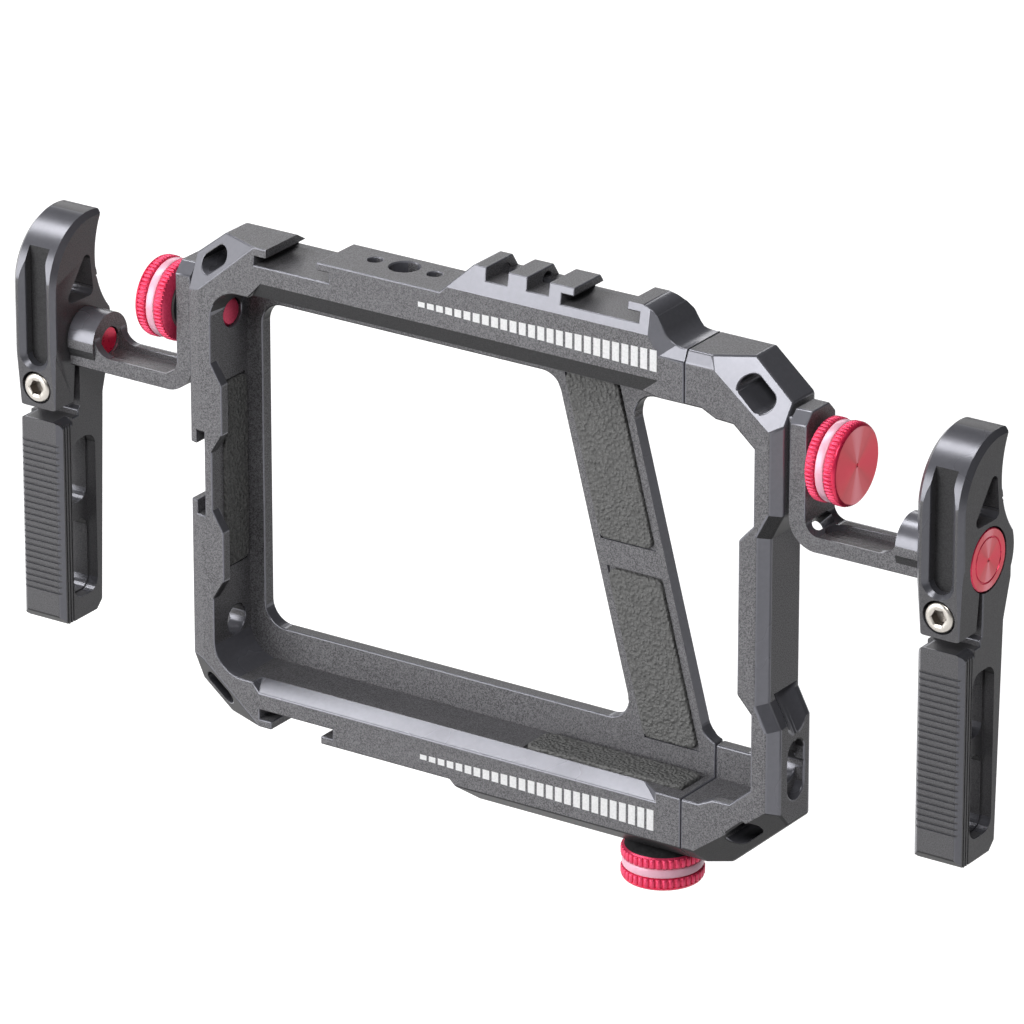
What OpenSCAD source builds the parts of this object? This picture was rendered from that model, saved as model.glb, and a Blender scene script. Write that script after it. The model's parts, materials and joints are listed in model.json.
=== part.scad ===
// Phone cage with a sliding end, accessory shoes and two tilting side handles.
// Millimetres. The origin is the mouth of the tripod socket under the lower rail.
// The front of the cage faces -Y and the sliding end pulls out along +X.

/* [Bay] */
// inside length of the phone bay with the sliding end closed
bay_l = 133.5; // [124:0.5:150]
// inside height of the phone bay
bay_h = 86.2; // [80:0.2:96]
// depth of the cage from its front face to its back face
frame_d = 16.2; // [15.6:0.1:20]
// thickness of the two end walls
wall_t = 5.9; // [5.6:0.1:8]
// height of the lower rail under the bay
lower_rail_h = 9.9; // [9.5:0.1:13]
// height of the upper rail over the bay
upper_rail_h = 11.5; // [11:0.1:14]
// thickness of the back plate
back_t = 3.1; // [2.6:0.1:4]
// length of the sliding end from the seam to its outer side
end_l = 22.6; // [22:0.1:30]
// distance from the fixed outer side to the tripod socket
socket_in = 50.2; // [46:0.1:53]

/* [Rail and shoes] */
// gap between the two lips of an accessory shoe
shoe_gap = 12.7; // [12.5:0.05:13]
// width of the slot under the lips of an accessory shoe
shoe_slot_w = 18.7; // [18.6:0.05:19]
// height of the slot under the lips of an accessory shoe
shoe_slot_h = 2.1; // [2:0.05:2.3]
// depth of an accessory shoe from the lip face to its floor
shoe_depth = 3.9; // [3.6:0.05:4.2]
// rise of the toothed rail over the upper rail
rail_rise = 7.3; // [6.8:0.1:8]
// distance between neighbouring slots of the toothed rail
rail_pitch = 10; // [9.8:0.05:10.2]
// width of a slot of the toothed rail
rail_slot_w = 5.2; // [4.6:0.1:5.4]

/* [Slide and lock] */
// how far the sliding end pulls out
slide_travel = 34; // [20:1:36]
// radius of the upper guide rod
rod_r = 2.5; // [2:0.1:3]
// height of the flat lower guide bar
bar_h = 4.6; // [4:0.1:5]
// width of the flat lower guide bar
bar_w = 7.6; // [6:0.1:8.4]
// running clearance of a sliding or turning fit
run_gap = 0.06; // [0.03:0.01:0.09]
// how far the lower rail drops around the lock
lock_drop = 4.6; // [4.2:0.1:6]
// nominal radius of the camera screw thread
thread_r = 3.175; // [3.1:0.005:3.25]

/* [Knobs] */
// outer radius of a thumb knob
knob_r = 8.75; // [8:0.05:10]
// length of a thumb knob head
knob_l = 7.8; // [7.2:0.1:9]
// thickness of the washer under a side knob
washer_t = 0.6; // [0.4:0.05:1]

/* [Brackets and handles] */
// reach of a bracket from the cage side to the outer face of its boss
arm_reach = 32.7; // [30:0.1:38]
// thickness of the upright plate of a bracket
plate_t = 3.9; // [3.5:0.1:5]
// depth of a bracket from front to back
bracket_d = 11; // [10.4:0.1:12]
// distance from the knob axis down to the tilt axis
pivot_drop = 13.2; // [12.6:0.1:15]
// width of a handle across its tilt axis
handle_w = 10.9; // [9.2:0.1:12]
// length of a handle below its tilt axis
handle_down = 64; // [62:0.5:80]
// height of a handle above its tilt axis
handle_up = 26.2; // [25:0.1:28]
// distance from the tilt axis to the front of a handle
handle_front = 10.3; // [9.8:0.1:11]
// radius of the tilt pin where the handle clamps it
pin_r = 4; // [3.6:0.05:4.4]
// radius of the round head of the tilt pin
pin_head_r = 6.6; // [6:0.1:7]
// distance between two ribs of a handle grip
rib_pitch = 1.4; // [1.2:0.05:1.8]

/* [Pads] */
// thickness of a pad
pad_t = 1.4; // [1.2:0.1:2]
// depth of the pocket a pad lies in
pad_sink = 0.5; // [0.3:0.1:0.8]

/* [Hidden] */
round_fn = 64;
over = 1;
big = 60;

x_left = -socket_in;
x_bay0 = x_left + wall_t;
x_bay1 = x_bay0 + bay_l;
x_right = x_bay1 + wall_t;
x_seam = x_right - end_l;
y_front = -frame_d / 2;
y_back = frame_d / 2;
y_plate = y_back - back_t;
z_floor = lower_rail_h;
z_ceil = z_floor + bay_h;
z_mid = (z_floor + z_ceil) / 2;
z_top = z_ceil + upper_rail_h;
z_rail = z_top + rail_rise;

// corner cuts of the front outline
left_cut_x = 7.5;
left_cut_z = 5.8;
right_cut_x = 9.1;
right_cut_z = 7.9;
low_cut_x = 14.1;
low_cut_z = 12.2;
left_slant = [17.3, 6.8, 14.6];
right_slant = [18.8, 11.5, 15];
low_slant = [24.2, 16.5, 18];
left_bevel_x = 3;
left_bevel_y = 0.8;
right_bevel = 2.2;
back_edge = 3;
back_lean = 1;
small_edge = 1.2;
lip_edge = 5;
floor_bevel = [2.2, 3.4];
ceil_bevel = [3.8, 1.6];
rail_front = [5.9, 1];
rail_back = [8, 5.6];
seam_front = [2.6, 1.3];
ramp_front = [3.5, 1.1];
bevel_end = 9;
bevel_run = [6, 11];
low_bevel_z = 1.2;
low_bevel_y = 4;
bay_r = 7;
end_bay_r = 5.5;

// rail, shoe and lock places measured from the ends
shoe_half = shoe_slot_w / 2;
left_shoe_in = 26.7;
left_shoe_x = x_left + left_shoe_in;
right_shoe_in = 20.4;
right_shoe_x = x_seam - right_shoe_in;
side_shoe_up = 1.3;
side_shoe_z = z_mid + side_shoe_up;
rail_in0 = 51.2;
rail_x0 = x_seam - rail_in0;
rail_in1 = 8.2;
rail_x1 = x_seam - rail_in1;
rail_slot_in = 35.5;
rail_slot_x = x_seam - rail_slot_in;
rail_slot_d = 2.8;
rail_bore_r = 1.6;
ramp_run = 4.6;
crest_r = 4;
foot_r = 5;
long_run = 7.9;
drop_in0 = 57;
drop_x0 = x_seam - drop_in0;
drop_in1 = 52;
drop_x1 = x_seam - drop_in1;
plate_in = 22.8;
plate_x = left_shoe_x + plate_in;
top_socket_d = 8.5;
tripod_socket_d = 7.5;
stud_gap = 7.4;
stud_r = 1.55;
mouth_r = 3.45;
mouth_h = 0.9;
lock_in = 9.3;
lock_x = x_seam - lock_in;

// heights of the side sockets
axis_y = 0;
socket_inset = 19.2;
z_low = socket_inset;
z_high = z_top - socket_inset;
key_w = 6;
key_l = 12.9;
key_d = 2;
lace_l = 8.2;
lace_w = 3.9;
lace_in = 3.5;
low_lace = 0.9;

// guides
guide_in = 9;
guide_hold = 12;
guide_len = slide_travel + guide_hold;
guide_room = 2;
guide_up = 0.3;
guide_z = z_ceil + upper_rail_h / 2 + guide_up;
bar_roof = 1.9;
bar_z = z_floor - bar_roof - bar_h;
seam_gap = 0.15;
screw_r = 1.5;
screw_head_r = 2.7;
screw_head_t = 1.6;
screw_sink = 0.3;
screw_hex_r = 1.15;
screw_hex_d = 1;

// slanted bar of the back plate
window_in = 3.9;
window_low = z_floor + 7.3;
window_high = z_ceil - 6.1;
bar_run = 0.263;
bar_across = 17.3;
bar_in = 19.8;
bar_left = x_seam - bar_in;
window_r = 5;
pad_edge = 2;
pad_long_up = 35;
pad_long_low = 36;

// tabs in front of the bay
tab_t = 2.4;
tab_in = 2.7;
tab_half = 10;
tab_flat = 5.6;
tab_off = 16.5;
end_tab_in = 3.4;
end_tab_half = 20.5;
end_tab_flat = 16.8;

// bracket, handle and knob places measured outward from a cage side
stand_off = 0.9;
arm_h = 3.4;
arm_drop = 5.1;
boss_t = 6.6;
boss_up = 6.2;
boss_fillet = 4;
bend_r = 6.5;
inner_r = 3;
bend_slot_w = 2.6;
pocket_d = 1.3;
pocket_rim = 3.8;
pocket_half = (bracket_d - pocket_rim) / 2;
land_half_y = 4.6;
land_half_z = 9;
plate_up = 10.6;
plate_cut = 2.4;
fit_gap = 0.05;
side_gap = 0.4;
dowel_r = 1.4;
dowel_off = 4.75;
dowel_roof = 1.6;
screw_gap = 0.25;
pivot_z = z_high - pivot_drop;
handle_u = arm_reach + side_gap;
handle_mid = handle_u + handle_w / 2;
pin_tip_r = 3;
pin_head_t = 2;
pin_ring_r = pin_head_r * 0.72;
head_gap = 0.3;
handle_back = 4.9;
waist_back = 1.6;
jaw_in = 1.2;
hub_r = 10;
hub_back = 9;
hub_low = 6.5;
hub_high = 5.5;
head_r = 14.4;
tip_y = 7.4;
neck_y = 4.7;
neck_z = 16;
neck_r = 19.3;
edge_cut = 1.1;
lean_front = 0.077;
lean_low = 0.0625;
lean_z = 1;
panel_d = 3;
panel_half = 2.6;
panel_bevel = 1.2;
panel_low = 3;
foot_cut = 1.8;
grip_in = 1.3;
grip_wall = 1.9;
window_round = 2.6;
window_front = 4.8;
window_top = 5.8;
window_foot = 5;
web_half = 2;
web_in = 1.5;
web_ledge = 0.3;
rib_d = 0.5;
rib_lead = 0.2;
rib_floor = 0.3;
rib_step = 0.55;
rib_margin = 4.8;
rib_foot = 6.3;
line_d = 0.3;
line_w = 0.4;
line_step = 0.9;
bolt_r = 2;
bolt_head_r = 3.3;
bolt_head_h = 4;
bolt_down = 10.3;
bolt_sink = 0.5;
bolt_roof = 0.8;
hex_d = 2.2;
hex_r = 1.73;
slit_y = -2.5;
slit_w = 1.6;
jaw_low = 15;
jaw_r = 2;
head_window_r = 1.3;
grip_top = 17.7;
stud_screw_r = thread_r - run_gap;
knob_base_in = 2.4;
knob_base_r = knob_r - knob_base_in;
knob_base_h = 0.5;
knob_edge = 0.45;
knob_ring_z0 = knob_l * 0.36;
knob_ring_z1 = knob_l * 0.66;
ring_in = 0.4;

// a front view outline made into a solid between two depths
module deep(y0, y1) {
    translate([0, y1, 0])
        rotate([90, 0, 0])
            linear_extrude(y1 - y0)
                children();
}

// a side view outline made into a solid between two X planes
module wide(x0, x1) {
    translate([x0, 0, 0])
        rotate([90, 0, 90])
            linear_extrude(x1 - x0)
                children();
}

module rod_x(x0, x1, y, z, r) {
    translate([x0, y, z])
        rotate([0, 90, 0])
            cylinder(h = x1 - x0, r = r, $fn = round_fn);
}

module rod_y(y0, y1, x, z, r) {
    translate([x, y0, z])
        rotate([-90, 0, 0])
            cylinder(h = y1 - y0, r = r, $fn = round_fn);
}

module rod_z(z0, z1, x, y, r) {
    translate([x, y, z0])
        cylinder(h = z1 - z0, r = r, $fn = round_fn);
}

module block(x0, x1, y0, y1, z0, z1) {
    translate([x0, y0, z0])
        cube([x1 - x0, y1 - y0, z1 - z0]);
}

module round_rect(x0, x1, z0, z1, r) {
    translate([x0 + r, z0])
        square([x1 - x0 - 2 * r, z1 - z0]);
    translate([x0, z0 + r])
        square([x1 - x0, z1 - z0 - 2 * r]);
    for (x = [x0 + r, x1 - r])
        for (z = [z0 + r, z1 - r])
            translate([x, z])
                circle(r, $fn = round_fn);
}

module oblong(l, w) {
    square([l - w, w], center = true);
    for (s = [-1, 1])
        translate([s * (l - w) / 2, 0])
            circle(w / 2, $fn = round_fn);
}

// everything beyond a plane, given by a point on it and the way it faces
module beyond(point, way) {
    translate(point)
        rotate([0, acos(way[2] / norm(way)), atan2(way[1], way[0])])
            translate([-2 * big, -2 * big, 0])
                cube([4 * big, 4 * big, big]);
}

// takes a slanted slice off one front corner of the cage
module corner_slant(corner, cut, side, up) {
    way = [side / cut[0], -1 / cut[1], up / cut[2]];
    beyond(corner - way / (way * way), way);
}

// bevel of the outer back edge along a corner cut
module corner_back(x, z, side, up, cut_x, cut_z, edge) {
    run = norm([cut_x, cut_z]);
    beyond([x - side * cut_x, y_back - edge, z], [side * cut_z / run, 1, up * cut_x / run]);
}

// an accessory shoe cut down from z = 0, its slot running along Y
module shoe_cut() {
    d = frame_d + 2 * over;
    translate([-shoe_gap / 2, -d / 2, -shoe_depth])
        cube([shoe_gap, d, shoe_depth + over]);
    translate([-shoe_slot_w / 2, -d / 2, -shoe_depth])
        cube([shoe_slot_w, d, shoe_slot_h]);
}

// a lace slot through a corner, its place given at the middle of the corner cut
module lace_cut(x, z, angle) {
    translate([x, 0, z])
        rotate([0, -angle, 0])
            translate([0, 0, -lace_in])
                deep(y_front - over, y_back + over)
                    oblong(lace_l, lace_w);
}

// threaded side socket with its upright key slot
module side_socket(z, x0, x1, x_face, dir) {
    rod_x(x0, x1, axis_y, z, thread_r);
    wide(min(x_face, x_face + dir * key_d), max(x_face, x_face + dir * key_d))
        translate([axis_y, z])
            rotate(90)
                oblong(key_l, key_w);
}

// threaded socket with two locating holes beside it, its mouth at z and facing up or down,
// countersunk where it faces up
module plate_socket(x, z, up, depth) {
    z0 = up > 0 ? z - depth : z - over;
    z1 = up > 0 ? z + over : z + depth;
    rod_z(z0, z1, x, 0, thread_r);
    if (up > 0)
        translate([x, 0, z - mouth_h])
            cylinder(h = 2 * mouth_h, r1 = mouth_r - mouth_h, r2 = mouth_r + mouth_h, $fn = round_fn);
    for (s = [-1, 1])
        rod_z(z0, z1, x + s * stud_gap, 0, stud_r);
}

function unit(way) = way / norm(way);

// half the angle of a corner p between two other points
function half_angle(before, p, after) = acos(unit(before - p) * unit(after - p)) / 2;

// the two points where an arc of radius r starts and ends that rounds a corner p
function arc_ends(before, p, after, r) =
    let (run = r / tan(half_angle(before, p, after)))
    [p + unit(before - p) * run, p + unit(after - p) * run];

// middle of that arc's circle
function arc_centre(before, p, after, r) =
    p + unit(unit(before - p) + unit(after - p)) * r / sin(half_angle(before, p, after));

// front view of the fixed part, the end of its rail running down in a double curve
module main_outline() {
    seam = [x_seam, z_top];
    foot = [rail_x1 + ramp_run, z_top];
    crest = [rail_x1, z_rail];
    start = [rail_x0, z_rail];
    ramp = concat(arc_ends(seam, foot, crest, foot_r), arc_ends(foot, crest, start, crest_r));
    difference() {
        union() {
            polygon([
                [x_left, left_cut_z],
                [x_left + left_cut_x, 0],
                [drop_x0, 0],
                [drop_x1, -lock_drop],
                [x_seam, -lock_drop],
                seam,
                each ramp,
                start,
                [rail_x0 - long_run, z_top],
                [x_left + left_cut_x, z_top],
                [x_left, z_top - left_cut_z]
            ]);
            translate(arc_centre(foot, crest, start, crest_r))
                circle(crest_r - fit_gap, $fn = round_fn);
        }
        translate(arc_centre(seam, foot, crest, foot_r))
            circle(foot_r + fit_gap, $fn = round_fn);
    }
}

// place of the slanted bar's left edge at a height
function bar_edge(z) = bar_left - bar_run * (z - window_low);

// fills the corner of an outline at p, between edges going along a and b, to a radius
module corner_fill(p, a, b, r) {
    mid = a + b;
    half = acos(a * b) / 2;
    centre = p + mid / norm(mid) * r / sin(half);
    difference() {
        polygon([p, p + a * r / tan(half), centre, p + b * r / tan(half)]);
        translate(centre)
            circle(r, $fn = round_fn);
    }
}

// opening of the back plate between the fixed wall and the slanted bar
module left_window() {
    x0 = x_bay0 + window_in;
    lean = [-bar_run, 1] / norm([bar_run, 1]);
    low = [bar_edge(window_low), window_low];
    high = [bar_edge(window_high), window_high];
    difference() {
        polygon([[x0, window_low], low, high, [x0, window_high]]);
        corner_fill([x0, window_low], [1, 0], [0, 1], window_r);
        corner_fill([x0, window_high], [1, 0], [0, -1], window_r);
        corner_fill(low, [-1, 0], lean, window_r);
        corner_fill(high, [-1, 0], -lean, window_r);
    }
}

// opening of the back plate between the slanted bar and the seam
module right_window() {
    x1 = x_seam + over;
    lean = [-bar_run, 1] / norm([bar_run, 1]);
    low = [bar_edge(window_low) + bar_across, window_low];
    high = [bar_edge(window_high) + bar_across, window_high];
    difference() {
        polygon([low, [x1, window_low], [x1, window_high], high]);
        corner_fill(low, [1, 0], lean, window_r);
        corner_fill(high, [1, 0], -lean, window_r);
    }
}

// bevel of the lower and upper inner front edges, slanted at one end and running out at the other
module rail_bevel(z, drop, back, dir) {
    intersection() {
        wide(x_bay0, x_seam)
            polygon([
                [y_front - over, z + dir * over],
                [y_front - over, z - dir * drop * (1 + over / back)],
                [y_front + back * (1 + over / drop), z + dir * over]
            ]);
        deep(y_front - over, y_plate)
            polygon([
                [x_bay0 + bevel_end, z + dir * over],
                [x_bay0 + bevel_end + drop + over, z - dir * (drop + over)],
                [x_seam, z - dir * (drop + over)],
                [x_seam, z + dir * over]
            ]);
        beyond([x_seam - bevel_run[0], y_front, 0], [-back, bevel_run[0] - bevel_run[1], 0]);
    }
}

// bevel of the outer front edge along the top
module top_bevel(x0, x1, z_hi, down, back) {
    wide(x0, x1)
        polygon([
            [y_front - over, z_hi + over],
            [y_front - over, z_hi - down - over * down / back],
            [y_front + back + over * back / down, z_hi + over]
        ]);
}

// bevel of the front edge along the toothed rail, down its end and on to the seam
module rail_front_bevel() {
    slope = norm([ramp_run, rail_rise]);
    beyond([0, y_front + rail_front[1], z_rail], [0, -1 / rail_front[1], 1 / rail_front[0]]);
    intersection() {
        beyond([rail_x1, y_front + ramp_front[1], z_rail],
            [rail_rise / slope / ramp_front[0], -1 / ramp_front[1], ramp_run / slope / ramp_front[0]]);
        beyond([0, y_front + seam_front[1], z_top], [0, -1 / seam_front[1], 1 / seam_front[0]]);
    }
}

// bevel of the outer back edge along the toothed rail, down its ends and on along the top
module rail_back_bevel() {
    long_slope = norm([long_run, rail_rise]);
    slope = norm([ramp_run, rail_rise]);
    edge = y_back - back_edge;
    beyond([0, y_back - rail_back[1], z_rail], [0, 1 / rail_back[1], 1 / rail_back[0]]);
    intersection() {
        beyond([0, edge, z_top], [0, 1, 1]);
        beyond([rail_x0, edge, z_rail], [-rail_rise / long_slope, 1, long_run / long_slope]);
    }
    intersection() {
        beyond([0, edge, z_top], [0, 1, 1]);
        beyond([rail_x1, edge, z_rail], [rail_rise / slope, 1, ramp_run / slope]);
    }
}

// bevel of the outer back edge along the top
module back_bevel(x0, x1, z_hi, down, deep_in) {
    wide(x0, x1)
        polygon([
            [y_back + over, z_hi + over],
            [y_back + over, z_hi - down - over * down / deep_in],
            [y_back - deep_in - over * deep_in / down, z_hi + over]
        ]);
}

// bevel of the lower front edge around the lock
module low_bevel(x0, x1) {
    rise = lock_drop - low_bevel_z;
    wide(x0, x1)
        polygon([
            [y_front - over, -lock_drop - over],
            [y_front - over, -low_bevel_z + over * rise / low_bevel_y],
            [y_front + low_bevel_y + over * low_bevel_y / rise, -lock_drop - over]
        ]);
}

module side_bevels(x, dir, bevel_x, bevel_y) {
    beyond([x, y_front + bevel_y, 0], [dir * bevel_y, -bevel_x, 0]);
    beyond([x, y_back - back_edge, 0], [dir * back_edge, back_edge - back_lean, 0]);
}

module wall_tab(z, x, dir, reach, half, flat) {
    deep(y_front, y_front + tab_t)
        polygon([
            [x - dir * over, z - half - over],
            [x, z - half],
            [x + dir * reach, z - flat],
            [x + dir * reach, z + flat],
            [x, z + half],
            [x - dir * over, z + half + over]
        ]);
}

module bar_pad_outline(z0, z1, grow) {
    polygon([
        [bar_edge(z0) + pad_edge - grow, z0 - grow],
        [bar_edge(z0) + bar_across - pad_edge + grow, z0 - grow],
        [bar_edge(z1) + bar_across - pad_edge + grow, z1 + grow],
        [bar_edge(z1) + pad_edge - grow, z1 + grow]
    ]);
}

pad_gap = 0.12;
pad_side = 0.9;
pad_past_up = 1.5;
pad_past_low = 2.5;
wall_pad_half = 21;
up_pad_z1 = window_high + pad_past_up;
up_pad_z0 = up_pad_z1 - pad_long_up;
low_pad_z0 = window_low - pad_past_low;
low_pad_z1 = low_pad_z0 + pad_long_low;
wall_pad_y0 = y_front + tab_t + 2 * pad_side;
wall_pad_y1 = y_plate - pad_side;
wall_pad_z0 = z_mid - wall_pad_half;
wall_pad_z1 = z_mid + wall_pad_half;
floor_pad_in0 = 41;
floor_pad_in1 = 2;
floor_pad_x0 = x_seam - floor_pad_in0;
floor_pad_x1 = x_seam - floor_pad_in1;
floor_pad_y0 = y_front + floor_bevel[1] + pad_side / 2;
floor_pad_y1 = y_plate - pad_side;

// room for the floor or ceiling pad, or the pad itself, between two heights
module flat_pad_block(grow, z0, z1) {
    block(floor_pad_x0 - grow, floor_pad_x1 + grow, floor_pad_y0 - grow, floor_pad_y1 + grow, z0, z1);
}

module main_frame() {
    color([0.42, 0.42, 0.45])
    difference() {
        union() {
            difference() {
                deep(y_front, y_back)
                    main_outline();
                deep(y_front - over, y_plate)
                    round_rect(x_bay0, x_seam + big, z_floor, z_ceil, bay_r);
            }
            wall_tab(z_mid + tab_off, x_bay0, 1, tab_in, tab_half, tab_flat);
            wall_tab(z_mid - tab_off, x_bay0, 1, tab_in, tab_half, tab_flat);
        }
        deep(y_plate - over, y_back + over)
            left_window();
        deep(y_plate - over, y_back + over)
            right_window();
        corner_slant([x_left, y_front, z_top], left_slant, -1, 1);
        corner_slant([x_left, y_front, 0], left_slant, -1, -1);
        corner_back(x_left, z_top, -1, 1, left_cut_x, left_cut_z, small_edge);
        corner_back(x_left, 0, -1, -1, left_cut_x, left_cut_z, back_edge);
        side_bevels(x_left, -1, left_bevel_x, left_bevel_y);
        rail_bevel(z_floor, floor_bevel[0], floor_bevel[1], 1);
        rail_bevel(z_ceil, ceil_bevel[0], ceil_bevel[1], -1);
        rail_front_bevel();
        rail_back_bevel();
        back_bevel(x_left - over, left_shoe_x, z_top, back_edge, lip_edge);
        low_bevel(drop_x0 - over, x_seam + over);
        translate([left_shoe_x, 0, z_top])
            shoe_cut();
        translate([left_shoe_x, 0, 0])
            mirror([0, 0, 1])
                shoe_cut();
        translate([right_shoe_x, 0, z_rail])
            shoe_cut();
        translate([x_left, 0, side_shoe_z])
            rotate([0, -90, 0])
                shoe_cut();
        for (x = [rail_slot_x, rail_slot_x - rail_pitch])
            block(x - rail_slot_w / 2, x + rail_slot_w / 2, y_front - over, y_back + over,
                z_rail - rail_slot_d, z_rail + over);
        rod_x(rail_x0 + rail_slot_d, right_shoe_x - shoe_half - rail_slot_d,
            0, z_rail - rail_slot_d, rail_bore_r);
        plate_socket(plate_x, z_top, 1, top_socket_d);
        plate_socket(0, 0, -1, tripod_socket_d);
        side_socket(z_low, x_left - over, x_bay0 + over, x_left, 1);
        side_socket(z_high, x_left - over, x_bay0 + over, x_left, 1);
        lace_cut(x_left + left_cut_x / 2, z_top - left_cut_z / 2, atan2(left_cut_z, left_cut_x));
        mirror([0, 0, 1])
            lace_cut(x_left + left_cut_x / 2, -left_cut_z / 2, atan2(left_cut_z, left_cut_x));
        rod_x(x_seam - guide_len - guide_room, x_seam + over, 0, guide_z, rod_r + run_gap);
        block(x_seam - guide_len - guide_room, x_seam + over, -bar_w / 2 - run_gap, bar_w / 2 + run_gap,
            bar_z - run_gap, bar_z + bar_h + run_gap);
        rod_z(-lock_drop - over, bar_z, lock_x, 0, thread_r);
        block(x_bay0 - pad_sink, x_bay0 + over, wall_pad_y0 - pad_gap, wall_pad_y1 + pad_gap,
            wall_pad_z0 - pad_gap, wall_pad_z1 + pad_gap);
        deep(y_plate - over, y_plate + pad_sink)
            bar_pad_outline(up_pad_z0, up_pad_z1, pad_gap);
        deep(y_plate - over, y_plate + pad_sink)
            bar_pad_outline(low_pad_z0, low_pad_z1, pad_gap);
        flat_pad_block(pad_gap, z_floor - pad_sink, z_floor + over);
        flat_pad_block(pad_gap, z_ceil - over, z_ceil + pad_sink);
    }
}

module end_outline() {
    polygon([
        [x_seam + seam_gap, -lock_drop],
        [x_right - low_cut_x, -lock_drop],
        [x_right, low_cut_z - lock_drop],
        [x_right, z_top - right_cut_z],
        [x_right - right_cut_x, z_top],
        [x_seam + seam_gap, z_top]
    ]);
}

lip_x = [4.2, 7.6, 11.8];
lip_z = [1.6, 1.8, 6];

// small lip in front of a bay corner of the sliding end
module corner_lip(z, dir) {
    deep(y_front, y_front + tab_t)
        polygon([
            [x_seam + lip_x[0], z - dir * over],
            [x_seam + lip_x[0], z],
            [x_seam + lip_x[1], z + dir * lip_z[0]],
            [x_seam + lip_x[2], z + dir * lip_z[1]],
            [x_bay1, z + dir * lip_z[2]],
            [x_bay1 + over, z - dir * over]
        ]);
}

waist_half = 23.2;
waist_z0 = z_mid - waist_half;
waist_z1 = z_mid + waist_half;
waist_in = 2.8;
waist_run = 5.4;
scoop_r = 6;
scoop_in = 1.2;

// bevel of the outer front or back edge that follows the waist inward
module waist_bevel(y, dir) {
    slope = norm([waist_in, waist_run]);
    intersection() {
        beyond([x_right - waist_in, y, 0], [1, dir, 0]);
        beyond([x_right, y, waist_z0], [waist_run / slope, dir, waist_in / slope]);
        beyond([x_right, y, waist_z1], [waist_run / slope, dir, -waist_in / slope]);
    }
}

// round run-out of the waist over the lower side socket
module waist_scoop() {
    lean = atan2(waist_in, waist_run);
    translate([x_right - waist_in, 0, waist_z0 + waist_run])
        rotate([0, -lean, 0])
            translate([scoop_r - scoop_in, 0, -big / 2])
                cylinder(h = big / 2 + scoop_in, r = scoop_r, $fn = round_fn);
}

module slide_end() {
    color([0.42, 0.42, 0.45])
    difference() {
        union() {
            difference() {
                deep(y_front, y_back)
                    end_outline();
                deep(y_front - over, y_plate)
                    round_rect(x_seam - big, x_bay1, z_floor, z_ceil, end_bay_r);
            }
            wall_tab(z_mid, x_bay1, -1, end_tab_in, end_tab_half, end_tab_flat);
            corner_lip(z_floor, 1);
            corner_lip(z_ceil, -1);
        }
        deep(y_plate - over, y_back + over)
            round_rect(x_seam - big, x_bay1 - window_in, window_low, window_high, window_r);
        corner_slant([x_right, y_front, z_top], right_slant, 1, 1);
        corner_slant([x_right, y_front, -lock_drop], low_slant, 1, -1);
        corner_back(x_right, z_top, 1, 1, right_cut_x, right_cut_z, back_edge);
        corner_back(x_right, -lock_drop, 1, -1, low_cut_x, low_cut_z, small_edge);
        side_bevels(x_right, 1, right_bevel, right_bevel);
        top_bevel(x_seam - over, x_right + over, z_top, seam_front[0], seam_front[1]);
        back_bevel(x_seam - over, x_right + over, z_top, back_edge, back_edge);
        low_bevel(x_seam - over, x_right + over);
        deep(y_front - over, y_back + over)
            polygon([
                [x_right + over, waist_z0 - over],
                [x_right, waist_z0],
                [x_right - waist_in, waist_z0 + waist_run],
                [x_right - waist_in, waist_z1 - waist_run],
                [x_right, waist_z1],
                [x_right + over, waist_z1 + over]
            ]);
        waist_bevel(y_front + right_bevel, -1);
        waist_bevel(y_back - back_edge, 1);
        waist_scoop();
        side_socket(z_low, x_bay1 - over, x_right + over, x_right, -1);
        side_socket(z_high, x_bay1 - over, x_right + over, x_right, -1);
        lace_cut(x_right - right_cut_x / 2, z_top - right_cut_z / 2, -atan2(right_cut_z, right_cut_x));
        mirror([0, 0, 1])
            lace_cut(x_right - low_cut_x / 2 + low_lace, lock_drop - low_cut_z / 2 - low_lace,
                -atan2(low_cut_z, low_cut_x));
        rod_x(x_seam - over, x_seam + guide_in, 0, guide_z, rod_r + fit_gap);
        block(x_seam - over, x_seam + guide_in, -bar_w / 2 - fit_gap, bar_w / 2 + fit_gap,
            bar_z - fit_gap, bar_z + bar_h + fit_gap);
        for (z = [guide_z, bar_z + bar_h / 2])
            guide_screw_room(z);
        block(x_bay1 - over, x_bay1 + pad_sink, wall_pad_y0 - pad_gap, wall_pad_y1 + pad_gap,
            wall_pad_z0 - pad_gap, wall_pad_z1 + pad_gap);
    }
}

guide_screw_x = x_seam + guide_in / 2;

module guide_screw_room(z) {
    rod_y(0, y_back + over, guide_screw_x, z, screw_r + fit_gap);
    rod_y(y_back - screw_head_t - screw_sink, y_back + over, guide_screw_x, z, screw_head_r + fit_gap);
}

module guide_screws() {
    color([0.75, 0.75, 0.76])
    for (z = [guide_z, bar_z + bar_h / 2])
        difference() {
            union() {
                rod_y(screw_sink, y_back - screw_sink, guide_screw_x, z, screw_r);
                rod_y(y_back - screw_head_t - screw_sink + fit_gap, y_back - screw_sink,
                    guide_screw_x, z, screw_head_r);
            }
            translate([guide_screw_x, y_back + over, z])
                rotate([90, 0, 0])
                    cylinder(h = over + screw_sink + screw_hex_d, r = screw_hex_r, $fn = 6);
        }
}

module upper_guide_rod() {
    color([0.75, 0.75, 0.76])
    difference() {
        rod_x(x_seam - guide_len, x_seam + guide_in - fit_gap, 0, guide_z, rod_r);
        rod_y(0, rod_r + over, guide_screw_x, guide_z, screw_r + fit_gap);
    }
}

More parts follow.
